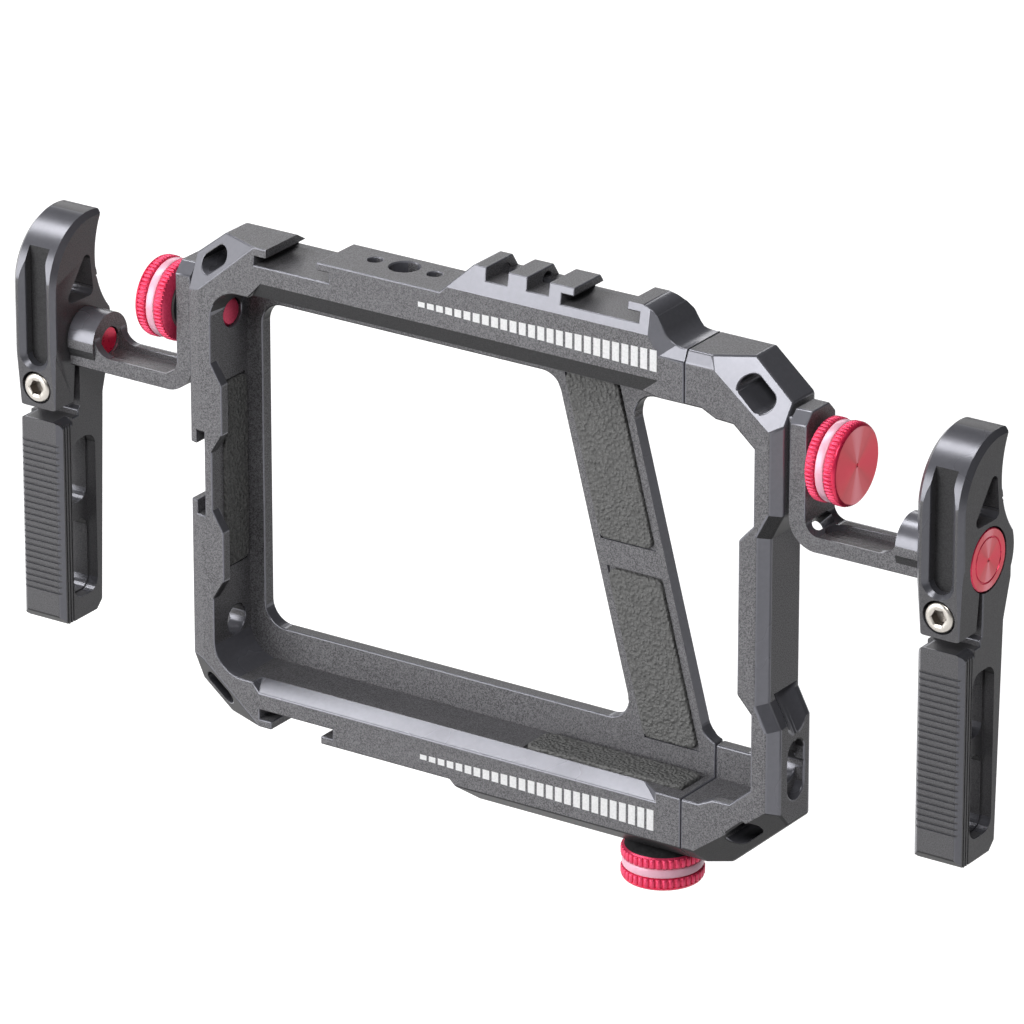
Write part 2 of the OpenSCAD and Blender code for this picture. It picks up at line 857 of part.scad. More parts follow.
module lower_guide_bar() {
    color([0.75, 0.75, 0.76])
    difference() {
        block(x_seam - guide_len, x_seam + guide_in - fit_gap, -bar_w / 2, bar_w / 2, bar_z, bar_z + bar_h);
        rod_y(0, bar_w, guide_screw_x, bar_z + bar_h / 2, screw_r + fit_gap);
    }
}

// knob head standing on z = 0 with its face up, on a screw of length shank going down
module thumb_knob(shank) {
    translate([0, 0, -shank])
        cylinder(h = shank + over, r = stud_screw_r, $fn = round_fn);
    rotate_extrude($fn = round_fn)
        polygon([
            [0, 0],
            [knob_base_r, 0],
            [knob_r - knob_edge, knob_base_h],
            [knob_r, knob_base_h + knob_edge],
            [knob_r, knob_ring_z0],
            [knob_r - ring_in, knob_ring_z0 + ring_in],
            [knob_r - ring_in, knob_ring_z1 - ring_in],
            [knob_r, knob_ring_z1],
            [knob_r, knob_l - knob_edge],
            [knob_r - knob_edge, knob_l],
            [0, knob_l]
        ]);
}

lock_pad_h = 2;
lock_knob_z = -lock_drop - 2 * fit_gap;

module lock_knob() {
    color([0.86, 0.13, 0.25])
    translate([lock_x, 0, lock_knob_z])
        mirror([0, 0, 1])
            thumb_knob(bar_z - lock_pad_h - 3 * fit_gap - lock_knob_z);
}

module lock_pad() {
    color([0.72, 0.58, 0.3])
    rod_z(bar_z - lock_pad_h - fit_gap * 2, bar_z - fit_gap * 2, lock_x, 0, thread_r - run_gap);
}

// puts a piece built outward along +X from the cage side onto the right or left side
module at_right() {
    translate([x_right, axis_y, 0])
        children();
}

module at_left() {
    translate([x_left, axis_y, 0])
        mirror([1, 0, 0])
            children();
}

// front view of a bracket without its boss
module arm_outline() {
    low = pivot_z - arm_drop;
    inside = stand_off + plate_t;
    boss_u = arm_reach - boss_t;
    difference() {
        union() {
            translate([stand_off, low + bend_r])
                square([plate_t, z_high + plate_up - low - bend_r]);
            translate([stand_off + bend_r, low])
                square([arm_reach - stand_off - bend_r, arm_h]);
            intersection() {
                translate([stand_off + bend_r, low + bend_r])
                    circle(bend_r, $fn = round_fn);
                translate([stand_off, low])
                    square(bend_r);
            }
            translate([inside, low + arm_h])
                square(inner_r);
            translate([boss_u - boss_fillet, low + arm_h])
                square(boss_fillet);
        }
        translate([inside + inner_r, low + arm_h + inner_r])
            circle(inner_r, $fn = round_fn);
        translate([boss_u - boss_fillet, low + arm_h + boss_fillet])
            circle(boss_fillet, $fn = round_fn);
    }
}

// side view of a bracket with its cut top corners
module plate_outline() {
    half = bracket_d / 2;
    top = z_high + plate_up;
    low = pivot_z - arm_drop;
    polygon([
        [-half, low - over],
        [half, low - over],
        [half, top - plate_cut],
        [half - plate_cut, top],
        [plate_cut - half, top],
        [-half, top - plate_cut]
    ]);
}

module arm_bracket() {
    low = pivot_z - arm_drop;
    inside = stand_off + plate_t;
    boss_u = arm_reach - boss_t;
    color([0.4, 0.4, 0.43])
    difference() {
        union() {
            intersection() {
                deep(-bracket_d / 2, bracket_d / 2)
                    arm_outline();
                wide(0, arm_reach)
                    plate_outline();
            }
            intersection() {
                rod_x(boss_u, arm_reach, 0, pivot_z, boss_up);
                block(0, big, -big, big, low, low + big);
            }
            block(0, stand_off + over, -land_half_y, land_half_y,
                z_high - land_half_z, z_high + land_half_z);
        }
        rod_x(-over, inside + over, 0, z_high, thread_r + screw_gap);
        for (s = [-1, 1])
            rod_x(-over, inside - dowel_roof, 0, z_high + s * dowel_off, dowel_r + fit_gap / 2);
        rod_x(boss_u - fit_gap, arm_reach + over, 0, pivot_z, pin_tip_r + fit_gap);
        translate([inside + pocket_rim / 2 + pocket_half, 0, low + arm_h - pocket_d])
            linear_extrude(pocket_d + boss_fillet + over) {
                circle(pocket_half, $fn = round_fn);
                translate([0, -pocket_half])
                    square([boss_u - inside - pocket_rim / 2 - pocket_half, 2 * pocket_half]);
            }
        translate([stand_off + bend_r, 0, low + bend_r])
            rotate([0, 45, 0])
                translate([0, 0, -2 * bend_r])
                    linear_extrude(2 * bend_r)
                        rotate(90)
                            oblong(bracket_d - pocket_rim, bend_slot_w);
    }
}

module dowel_pair() {
    color([0.75, 0.75, 0.76])
    for (s = [-1, 1])
        rod_x(-key_d + side_gap, stand_off + plate_t - dowel_roof - fit_gap,
            0, z_high + s * dowel_off, dowel_r);
}

module side_washer() {
    color([0.1, 0.1, 0.1])
    difference() {
        rod_x(stand_off + plate_t + fit_gap, stand_off + plate_t + fit_gap + washer_t,
            0, z_high, knob_base_r - side_gap / 2);
        rod_x(stand_off, stand_off + big, 0, z_high, thread_r + screw_gap);
    }
}

module side_knob() {
    color([0.86, 0.13, 0.25])
    translate([stand_off + plate_t + washer_t + 2 * fit_gap, 0, z_high])
        rotate([0, 90, 0])
            thumb_knob(stand_off + plate_t + washer_t + 2 * fit_gap + wall_t - side_gap);
}

module tilt_pin() {
    color([0.86, 0.13, 0.25])
    difference() {
        union() {
            rod_x(arm_reach - boss_t + side_gap, arm_reach + over, 0, pivot_z, pin_tip_r);
            rod_x(arm_reach + fit_gap, handle_u + handle_w - pin_head_t + over, 0, pivot_z, pin_r);
            rod_x(handle_u + handle_w - pin_head_t, handle_u + handle_w, 0, pivot_z, pin_head_r);
        }
        translate([handle_u + handle_w - line_d, 0, pivot_z])
            rotate([0, 90, 0])
                difference() {
                    cylinder(h = over, r = pin_ring_r + line_w / 2, $fn = round_fn);
                    translate([0, 0, -over])
                        cylinder(h = 3 * over, r = pin_ring_r - line_w / 2, $fn = round_fn);
                }
    }
}

// side view of a handle, tilt axis at the origin, front at -Y
module handle_outline() {
    front = -handle_front;
    grip = front + grip_in;
    back = handle_back;
    head_y = front + head_r;
    head_z = handle_up - head_r;
    difference() {
        union() {
            polygon([
                [grip + foot_cut, -handle_down],
                [back - foot_cut, -handle_down],
                [back, -handle_down + foot_cut],
                [back + waist_back, -jaw_low],
                [hub_back, -hub_low],
                [hub_back, hub_high],
                [neck_y, head_z],
                [neck_y, head_z + over],
                [front + over, head_z + over],
                [front, head_z],
                [front, -panel_low],
                [front + jaw_in, -jaw_low],
                [slit_y, -jaw_low],
                [slit_y, -grip_top],
                [grip, -grip_top],
                [grip, -handle_down + foot_cut]
            ]);
            circle(hub_r, $fn = round_fn);
            intersection() {
                translate([head_y, head_z])
                    circle(head_r, $fn = round_fn);
                translate([front, head_z])
                    square([tip_y - front, head_r]);
            }
        }
        translate([neck_y + neck_r, neck_z])
            circle(neck_r, $fn = round_fn);
        polygon([
            [front - over, -grip_top],
            [slit_y - slit_w, -grip_top],
            [slit_y + slit_w / 2, -jaw_low - slit_w / 2],
            [slit_y + slit_w / 2, 0],
            [slit_y - slit_w / 2, 0],
            [slit_y - slit_w / 2, -jaw_low],
            [front - over, -jaw_low]
        ]);
    }
}

// triangular opening in the head of a handle, with round corners
module head_window() {
    top = [2.4, 19.2];
    back = [3.8, 7.9];
    low = [-6.3, 8.1];
    corners = [[low, top, back], [top, back, low], [back, low, top]];
    polygon([for (c = corners) each arc_ends(c[0], c[1], c[2], head_window_r)]);
    for (c = corners)
        translate(arc_centre(c[0], c[1], c[2], head_window_r))
            circle(head_window_r + fit_gap, $fn = round_fn);
}

// rounding of one front corner of a jaw or grip, back to a depth
module jaw_round(x, z, side, up, back) {
    deep(-handle_front - over, back)
        difference() {
            polygon([
                [x - side * over, z - up * over],
                [x + side * jaw_r, z - up * over],
                [x + side * jaw_r, z + up * jaw_r],
                [x - side * over, z + up * jaw_r]
            ]);
            translate([x + side * jaw_r, z + up * jaw_r])
                circle(jaw_r, $fn = round_fn);
        }
}

// an opening of the grip between two heights, grown by a margin
module grip_window(z0, z1, grow) {
    round_rect(-window_front - grow, handle_back - grip_wall + grow,
        z0 - grow, z1 + grow, window_round + grow);
}

// bevel along the front edges of one side of a handle: jaw, head, round top and grip
module edge_bevel(x, side) {
    front = -handle_front;
    head_z = handle_up - head_r;
    slope = atan2(jaw_in, jaw_low - panel_low);
    edge = x - side * edge_cut;
    intersection() {
        beyond([edge, front, -panel_low], [side, -cos(slope), -sin(slope)]);
        block(-big, big, -big, big, -jaw_low - over, -panel_low);
    }
    intersection() {
        beyond([edge, front, 0], [side, -1, 0]);
        block(-big, big, -big, big, -panel_low, head_z);
    }
    intersection() {
        translate([edge, front + head_r, head_z])
            rotate([0, side * 90, 0])
                difference() {
                    cylinder(h = edge_cut + over, r = head_r + over, $fn = round_fn);
                    cylinder(h = edge_cut + over, r1 = head_r,
                        r2 = head_r - edge_cut - over, $fn = round_fn);
                }
        block(-big, big, -big, big, head_z, head_z + big);
    }
    intersection() {
        beyond([edge, front + grip_in, 0], [side, -1, 0]);
        block(-big, big, -big, big, -handle_down - over, -grip_top + over);
    }
}

// lean of one side of the jaw, thinning it toward its lower front
module jaw_lean(x, side) {
    intersection() {
        beyond([x, edge_cut - handle_front, lean_z], [side, -lean_front, -lean_low]);
        block(-big, big, -big, slit_y, -jaw_low - over, lean_z + over);
    }
}

// groove above one rib of the grip
module rib_groove(z) {
    front = grip_in - handle_front;
    translate([0, 0, z])
        wide(handle_u - over, handle_u + handle_w + over)
            polygon([
                [front - over, rib_pitch * rib_lead],
                [front + rib_d, -rib_pitch * rib_floor],
                [front + rib_d, -rib_pitch * rib_step],
                [front - over, -rib_pitch * rib_step]
            ]);
}

// recess in the front of the head with a bevelled mouth, rounded below and running out above
module head_panel() {
    front = -handle_front;
    mouth = panel_half + panel_bevel + over;
    translate([handle_mid, 0, -panel_low]) {
        deep(front - over, front + panel_d)
            union() {
                circle(panel_half, $fn = round_fn);
                translate([-panel_half, 0])
                    square([2 * panel_half, panel_low + handle_up]);
            }
        intersection() {
            translate([0, front - over, 0])
                rotate([-90, 0, 0])
                    cylinder(h = panel_bevel + over, r1 = mouth, r2 = panel_half, $fn = round_fn);
            block(-big, big, -big, big, -big, 0);
        }
        linear_extrude(panel_low + handle_up)
            polygon([
                [-mouth, front - over],
                [mouth, front - over],
                [panel_half, front + panel_bevel],
                [-panel_half, front + panel_bevel]
            ]);
    }
}

module tilt_handle() {
    front = -handle_front;
    side = handle_u + handle_w;
    split_z = -grip_top - (handle_down - grip_top) / 2;
    rib_z0 = -grip_top - rib_margin;
    rib_n = floor((handle_down - grip_top - rib_margin - rib_foot) / rib_pitch);
    color([0.36, 0.36, 0.38])
    translate([0, 0, pivot_z])
    difference() {
        wide(handle_u, side)
            handle_outline();
        rod_x(handle_u - over, side + over, 0, 0, pin_r + run_gap);
        rod_x(side - pin_head_t - head_gap, side + over, 0, 0, pin_head_r + head_gap);
        wide(handle_u - over, side + over)
            head_window();
        wide(handle_u - over, side + over)
            grip_window(split_z + web_half, -grip_top - window_top, 0);
        wide(handle_u - over, side + over)
            grip_window(-handle_down + window_foot, split_z - web_half, 0);
        rod_y(front - over, slit_y, handle_mid, -bolt_down, bolt_r + side_gap / 2);
        rod_y(slit_y, handle_back - bolt_roof, handle_mid, -bolt_down, bolt_r + fit_gap);
        rod_y(front - over, front + bolt_head_h + bolt_sink,
            handle_mid, -bolt_down, bolt_head_r + side_gap);
        head_panel();
        for (s = [-1, 1]) {
            edge_bevel(handle_mid + s * handle_w / 2, s);
            jaw_lean(handle_mid + s * handle_w / 2, s);
            wide(handle_mid + s * (handle_w - web_in) / 2 - (web_in / 2 + over),
                handle_mid + s * (handle_w - web_in) / 2 + (web_in / 2 + over))
                grip_window(-handle_down + window_foot, -grip_top - window_top, web_ledge);
            jaw_round(handle_mid + s * handle_w / 2, -jaw_low, -s, 1, slit_y);
            jaw_round(handle_mid + s * handle_w / 2, -grip_top, -s, -1, slit_y - slit_w - side_gap);
        }
        for (k = [0 : rib_n - 1])
            rib_groove(rib_z0 - k * rib_pitch);
        for (x = [handle_u, side])
            for (k = [1 : 3])
                block(x - line_d, x + line_d,
                    front + grip_in + edge_cut + (k - 0.5) * line_step,
                    front + grip_in + edge_cut + (k - 0.5) * line_step + line_w,
                    -handle_down - over, -grip_top + over);
    }
}

module clamp_bolt() {
    bolt_l = handle_front + handle_back - bolt_roof - bolt_sink - over;
    color([0.83, 0.81, 0.77])
    translate([handle_mid, -handle_front + bolt_sink, pivot_z - bolt_down])
        rotate([-90, 0, 0])
            difference() {
                union() {
                    cylinder(h = bolt_head_h, r = bolt_head_r, $fn = round_fn);
                    cylinder(h = bolt_l, r = bolt_r, $fn = round_fn);
                }
                translate([0, 0, -over])
                    cylinder(h = over + hex_d, r = hex_r, $fn = 6);
            }
}

module left_bracket() { at_left() arm_bracket(); }
module right_bracket() { at_right() arm_bracket(); }
module left_dowels() { at_left() dowel_pair(); }
module right_dowels() { at_right() dowel_pair(); }
module left_washer() { at_left() side_washer(); }
module right_washer() { at_right() side_washer(); }
module left_knob() { at_left() side_knob(); }
module right_knob() { at_right() side_knob(); }
module left_pivot_pin() { at_left() tilt_pin(); }
module right_pivot_pin() { at_right() tilt_pin(); }
module left_handle() { at_left() tilt_handle(); }
module right_handle() { at_right() tilt_handle(); }
module left_clamp_bolt() { at_left() clamp_bolt(); }
module right_clamp_bolt() { at_right() clamp_bolt(); }

module left_wall_pad() {
    color([0.3, 0.3, 0.27])
    block(x_bay0 - pad_sink, x_bay0 - pad_sink + pad_t, wall_pad_y0, wall_pad_y1, wall_pad_z0, wall_pad_z1);
}

module right_wall_pad() {
    color([0.3, 0.3, 0.27])
    block(x_bay1 + pad_sink - pad_t, x_bay1 + pad_sink, wall_pad_y0, wall_pad_y1, wall_pad_z0, wall_pad_z1);
}

module upper_bar_pad() {
    color([0.3, 0.3, 0.27])
    deep(y_plate + pad_sink - pad_t, y_plate + pad_sink)
        bar_pad_outline(up_pad_z0, up_pad_z1, 0);
}

module lower_bar_pad() {
    color([0.3, 0.3, 0.27])
    deep(y_plate + pad_sink - pad_t, y_plate + pad_sink)
        bar_pad_outline(low_pad_z0, low_pad_z1, 0);
}

module floor_pad() {
    color([0.3, 0.3, 0.27])
    flat_pad_block(0, z_floor - pad_sink, z_floor - pad_sink + pad_t);
}

module ceiling_pad() {
    color([0.3, 0.3, 0.27])
    flat_pad_block(0, z_ceil + pad_sink - pad_t, z_ceil + pad_sink);
}

main_frame();
slide_end();
upper_guide_rod();
lower_guide_bar();
guide_screws();
lock_knob();
lock_pad();
left_bracket();
right_bracket();
left_dowels();
right_dowels();
left_washer();
right_washer();
left_knob();
right_knob();
left_pivot_pin();
right_pivot_pin();
left_handle();
right_handle();
left_clamp_bolt();
right_clamp_bolt();
left_wall_pad();
right_wall_pad();
upper_bar_pad();
lower_bar_pad();
floor_pad();
ceiling_pad();
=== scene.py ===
import json
import math

import bmesh
import bpy
import numpy as np
from mathutils import Matrix, Vector
from mathutils.bvhtree import BVHTree
from mathutils.geometry import area_tri, delaunay_2d_cdt
from mathutils.kdtree import KDTree


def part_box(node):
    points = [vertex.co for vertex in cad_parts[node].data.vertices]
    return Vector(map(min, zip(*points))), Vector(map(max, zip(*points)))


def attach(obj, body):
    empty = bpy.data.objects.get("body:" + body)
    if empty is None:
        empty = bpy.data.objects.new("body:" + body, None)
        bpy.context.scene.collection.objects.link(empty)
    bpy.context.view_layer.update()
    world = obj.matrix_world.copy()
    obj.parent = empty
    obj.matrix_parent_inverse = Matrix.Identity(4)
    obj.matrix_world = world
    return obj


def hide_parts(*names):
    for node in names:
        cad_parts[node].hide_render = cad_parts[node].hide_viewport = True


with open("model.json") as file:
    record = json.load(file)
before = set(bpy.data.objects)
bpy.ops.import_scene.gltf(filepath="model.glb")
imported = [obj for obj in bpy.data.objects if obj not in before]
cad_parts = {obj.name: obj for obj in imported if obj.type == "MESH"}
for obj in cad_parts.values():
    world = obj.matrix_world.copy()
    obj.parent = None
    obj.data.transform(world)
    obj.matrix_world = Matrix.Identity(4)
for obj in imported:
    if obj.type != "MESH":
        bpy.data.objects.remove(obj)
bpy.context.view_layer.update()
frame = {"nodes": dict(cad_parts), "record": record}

MM = 0.001


class Wire:
    """A shader socket. Sums on wires add Math nodes, and node() adds any other node."""

    def __init__(self, tree, socket=None):
        self.tree = tree
        self.socket = socket

    def node(self, kind, settings=None, sockets=None, out=0):
        made = self.tree.nodes.new(kind)
        for name, value in (settings or {}).items():
            if name == "stops":
                ramp = made.color_ramp
                while len(ramp.elements) < len(value):
                    ramp.elements.new(0.5)
                for element, (place, shade) in zip(ramp.elements, value):
                    element.position = place
                    element.color = shade
            else:
                setattr(made, name, value)
        for name, value in (sockets or {}).items():
            if isinstance(value, Wire):
                self.tree.links.new(value.socket, made.inputs[name])
            else:
                made.inputs[name].default_value = value
        return Wire(self.tree, made.outputs[out])

    def sum(self, operation, first, second):
        return self.node("ShaderNodeMath", {"operation": operation}, {0: first, 1: second})

    def __add__(self, other):
        return self.sum("ADD", self, other)

    def __mul__(self, other):
        return self.sum("MULTIPLY", self, other)

    def __rtruediv__(self, other):
        return self.sum("DIVIDE", other, self)

    def noise(self, scale, detail, rough):
        return self.node("ShaderNodeTexNoise", {}, {
            "Vector": self, "Scale": scale, "Detail": detail, "Roughness": rough})

    def ramp(self, low, high, least, most):
        return self.node("ShaderNodeMapRange", {}, {
            0: self, 1: low, 2: high, 3: least, 4: most})

    def shade(self, low, dark, high, light):
        return self.stops([(low, dark), (high, light)])

    def stops(self, shades):
        return self.node("ShaderNodeValToRGB", {"stops": shades}, {0: self})

    def mix(self, dark, light):
        return self.node("ShaderNodeMix", {"data_type": "RGBA"}, {0: self, 6: dark, 7: light}, 2)

    def bump(self, strength, distance):
        return self.node("ShaderNodeBump", {}, {
            "Height": self, "Strength": strength, "Distance": distance})


def finish(name, constants):
    """A new material with its constants set, the wire of its Object coordinates, and its shader."""
    made = bpy.data.materials.new(name)
    made.use_nodes = True
    shader = made.node_tree.nodes["Principled BSDF"]
    for socket, value in constants.items():
        shader.inputs[socket].default_value = value
    place = Wire(made.node_tree).node("ShaderNodeTexCoord", {}, {}, "Object")
    return made, place, shader


def plug(shader, **wires):
    names = {"colour": "Base Color", "rough": "Roughness", "normal": "Normal",
             "glow": "Emission Color"}
    for key, wire in wires.items():
        wire.tree.links.new(wire.socket, shader.inputs[names[key]])


NEUTRAL = (1, 1, 1)
VIOLET = (1.0, 0.985, 1.045)
COOL = (0.98, 0.985, 1.12)
OLIVE = (1.0, 1.0, 0.985)
BLAST_SCALE = 3900
BLAST_LOW, BLAST_HIGH = 0.36, 0.64
SHALLOW = 0.02 * MM


def grey(value, tint=NEUTRAL):
    return tuple(value * t for t in tint) + (1,)


# blasted and anodised aluminium: a fine bright and dark grain over a quiet, slightly violet grey
def blasted_metal(name, level, rough, metal, grain):
    made, place, shader = finish(name, {"Metallic": metal, "Specular IOR Level": 0.3})
    speck = place.noise(BLAST_SCALE, 2.0, 0.7)
    cloud = place.noise(55, 2.0, 0.5)
    base = speck.shade(BLAST_LOW, grey(level * (1 - grain), VIOLET),
                       BLAST_HIGH, grey(level * (1 + grain), VIOLET))
    worn = cloud.ramp(0.35, 0.65, 0.0, 0.22)
    plug(shader,
         colour=worn.mix(base, grey(level * 1.12, VIOLET)),
         rough=speck.ramp(0.3, 0.7, rough - 0.05, rough + 0.07),
         normal=speck.bump(0.3, 0.03 * MM))
    return made


# the same metal where a cutter left it smooth: bevels, rounds and slanted faces
def cut_metal(name, level, rough, metal):
    made, place, shader = finish(name, {"Metallic": metal, "Specular IOR Level": 0.5})
    drawn = place.noise(900, 3.0, 0.6)
    cloud = place.noise(70, 2.0, 0.5)
    plug(shader,
         colour=drawn.shade(0.3, grey(level * 0.95, COOL), 0.7, grey(level * 1.05, COOL)),
         rough=cloud.ramp(0.3, 0.7, rough - 0.03, rough + 0.03),
         normal=drawn.bump(0.05, SHALLOW))
    return made


# the same metal much darker on slanted faces that look down: painted shade
def shade_painted_metal(name, level):
    made, place, shader = finish(name, {"Specular IOR Level": 0.2})
    speck = place.noise(BLAST_SCALE, 2.0, 0.7)
    plug(shader,
         colour=speck.shade(BLAST_LOW, grey(level * 0.6, VIOLET),
                            BLAST_HIGH, grey(level * 1.4, VIOLET)),
         rough=speck.ramp(0.3, 0.7, 0.4, 0.5))
    return made


# red anodised aluminium, a little deeper in the low spots of the grain
def red_metal(name, deep, light, rough, metal, grain_scale, strength):
    made, place, shader = finish(name, {"Metallic": metal, "Specular IOR Level": 0.5})
    speck = place.noise(grain_scale, 3.0, 0.6)
    plug(shader,
         colour=speck.shade(0.3, deep, 0.7, light),
         rough=speck.ramp(0.3, 0.7, rough - 0.05, rough + 0.05),
         normal=speck.bump(strength, SHALLOW))
    return made


# a red face turned in a lathe, with painted sheen: its colour is a painted reflection
# that goes from clear red to dull and to a pale streak round the axis
def turned_red_painted_sheen():
    made, place, shader = finish("turned_red_painted_sheen", {"Metallic": 0.5, "Specular IOR Level": 0.5})
    sheen = place.node("ShaderNodeAttribute", {"attribute_name": "sheen"}, {}, "Fac")
    fine = place.noise(1500, 3.0, 0.6)
    shades = [(0.0, (0.95, 0.06, 0.11, 1)), (0.3, (0.90, 0.075, 0.11, 1)),
              (0.55, (0.78, 0.095, 0.12, 1)), (0.88, (0.84, 0.135, 0.165, 1)),
              (1.0, (0.95, 0.29, 0.34, 1))]
    plug(shader,
         colour=sheen.stops(shades),
         rough=fine.ramp(0.3, 0.7, 0.3, 0.38))
    return made


# plain bright metal with faint turning marks
def bright_metal(name, colour, rough):
    made, place, shader = finish(name, {"Metallic": 1.0})
    marks = place.noise(900, 3.0, 0.7)
    dark = grey(0.86, colour[:3])
    plug(shader,
         colour=marks.shade(0.3, dark, 0.7, colour),
         rough=marks.ramp(0.3, 0.7, rough - 0.05, rough + 0.08),
         normal=marks.bump(0.08, SHALLOW))
    return made


# moulded rubber with a crinkled leather grain
def crinkled_rubber():
    made, place, shader = finish("crinkled_rubber", {"Specular IOR Level": 0.3})
    sway = 0.6 * MM
    warp = place.node("ShaderNodeTexNoise", {}, {
        "Vector": place, "Scale": 1100.0, "Detail": 2.0, "Roughness": 0.5}, 1)
    bent = place.node("ShaderNodeVectorMath", {"operation": "MULTIPLY_ADD"}, {
        0: warp, 1: (sway, sway, sway), 2: place})
    cells = bent.node("ShaderNodeTexVoronoi", {"feature": "SMOOTH_F1"}, {
        "Vector": bent, "Scale": 1500.0, "Smoothness": 0.8})
    fine = place.noise(2600, 2.0, 0.6)
    height = cells.ramp(0.05, 0.75, 1.0, 0.0) + fine * 0.4
    plug(shader,
         colour=height.shade(0.15, grey(0.105, OLIVE), 0.95, grey(0.155, OLIVE)),
         rough=height.ramp(0.1, 1.1, 0.62, 0.45),
         normal=height.bump(1.0, 0.4 * MM))
    return made


# white printed ink, thin and a little uneven
def white_ink():
    made, place, shader = finish("white_ink", {"Specular IOR Level": 0.3})
    wear = place.noise(2200, 2.0, 0.6)
    plug(shader,
         colour=wear.shade(0.25, (0.72, 0.72, 0.73, 1), 0.6, (0.86, 0.86, 0.87, 1)),
         rough=wear.ramp(0.3, 0.7, 0.45, 0.6))
    return made


# dark nylon of the washers, also used as painted shade on the lock knob's base
def black_nylon_and_painted_shade():
    made, place, shader = finish("black_nylon_and_painted_shade", {"Specular IOR Level": 0.4})
    speck = place.noise(1800, 2.0, 0.5)
    plug(shader,
         colour=speck.shade(0.3, (0.012, 0.012, 0.013, 1), 0.7, (0.03, 0.03, 0.032, 1)),
         rough=speck.ramp(0.3, 0.7, 0.4, 0.55))
    return made


cage_grey = blasted_metal("blasted_cage_grey", 0.13, 0.46, 0.15, 0.62)
cage_cut = cut_metal("cut_cage_grey", 0.17, 0.26, 0.4)
cage_painted_shade = shade_painted_metal("painted_shade_cage_grey", 0.03)
handle_grey = blasted_metal("satin_handle_grey", 0.09, 0.4, 0.15, 0.3)
handle_cut = cut_metal("cut_handle_grey", 0.13, 0.28, 0.45)
handle_painted_shade = shade_painted_metal("painted_shade_handle_grey", 0.03)
knurl_red = red_metal("knurled_red", (0.70, 0.03, 0.10, 1), (0.88, 0.07, 0.17, 1),
                      0.36, 0.4, 2400, 0.1)
shoulder_red = red_metal("smooth_red", (0.78, 0.02, 0.08, 1), (0.86, 0.035, 0.11, 1),
                         0.3, 0.4, 900, 0.03)
face_red_painted_sheen = turned_red_painted_sheen()
# the polished ring between the knurled bands: its pale pink is a painted highlight on the red metal
ring_painted_highlight = red_metal("polished_ring_painted_highlight", (0.85, 0.44, 0.56, 1), (0.90, 0.52, 0.63, 1),
                      0.34, 0.1, 700, 0.03)
bolt_nickel = bright_metal("nickel_bolt", (0.52, 0.49, 0.45, 1), 0.3)
# darker nickel inside the hexagon socket: painted shade in the recess
socket_nickel_painted_shade = bright_metal("nickel_socket_painted_shade", (0.34, 0.31, 0.28, 1), 0.4)
guide_steel = bright_metal("ground_steel", (0.60, 0.60, 0.61, 1), 0.3)
pad_brass = bright_metal("lock_brass", (0.68, 0.47, 0.18, 1), 0.3)
rubber = crinkled_rubber()
ink = white_ink()
nylon_and_painted_shade = black_nylon_and_painted_shade()


def new_piece(name, mesh, body, slot, *materials):
    made = bpy.data.objects.new(name, mesh)
    bpy.context.scene.collection.objects.link(made)
    for material in materials:
        mesh.materials.append(material)
    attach(made, body)
    return made


def plain_mesh(made):
    """The finished mesh of an object with its modifiers taken in."""
    seen = made.evaluated_get(bpy.context.evaluated_depsgraph_get())
    mesh = bpy.data.meshes.new_from_object(seen)
    bpy.data.objects.remove(made)
    return mesh


def centre_of(low, high):
    return [(a + b) / 2 for a, b in zip(low, high)]


# edges keener than this are rounded, in so many steps
KEEN = math.radians(24)
ROUND_STEPS = 2
# what counts as one point, as flat, and as lying on the metal
WELD = 0.004 * MM
FLAT = math.radians(0.4)
BENT = math.radians(0.2)
SKIN = 0.01 * MM
FOLD = 0.01 * MM * MM
# the room that a rounding needs and the way that it may move a corner, in widths
ROOM = 2.3
RUN_AWAY = 3.5
TRIES = 8
# the largest angle that is shaded as smooth, across a round and elsewhere
ROUND_SOFT = math.radians(50)
CREASE = math.radians(7.5)
# a face this much smaller than its neighbour doesn't bend that neighbour's shading
SMALL = 0.3
# which faces count as square on, upright and to the front or back, and looking down
SQUARE_ON = 0.99
LEVEL = 0.05
FACES_ON = 0.94
LOOKS_DOWN = -0.2
# the depth of a slim ledge, and the least size of the floor of a handle's recess
LEDGE = 0.6 * MM
RECESS_FLOOR = 100 * MM * MM
# the places of the three finishes of a machined piece, the last of them painted shade
BLASTED, CUT, PAINTED_SHADE = range(3)


def clear_run(edge, face):
    """The least way from an edge across one of its faces to another side of that face."""
    start, end = (v.co for v in edge.verts)
    along = (end - start).normalized()
    across = face.normal.cross(along)
    if across.dot(face.calc_center_median() - start) < 0:
        across = -across
    near = [e for v in edge.verts for e in v.link_edges]
    sides = [[(v.co - start) for v in e.verts] for e in face.edges if e not in near]
    flat = np.array([[(c.dot(along), c.dot(across)) for c in side] for side in sides])
    least = 1.0
    if not len(flat):
        return least
    step = flat[:, 1, 0] - flat[:, 0, 0]
    for share in (0.02, 0.25, 0.5, 0.75, 0.98):
        place = share * (end - start).length
        t = (place - flat[:, 0, 0]) / np.where(abs(step) < 1e-9, 1e-9, step)
        met = flat[:, 0, 1] + t * (flat[:, 1, 1] - flat[:, 0, 1])
        met = met[(t >= 0) & (t <= 1) & (met > 1e-7)]
        if len(met):
            least = min(least, met.min())
    return least


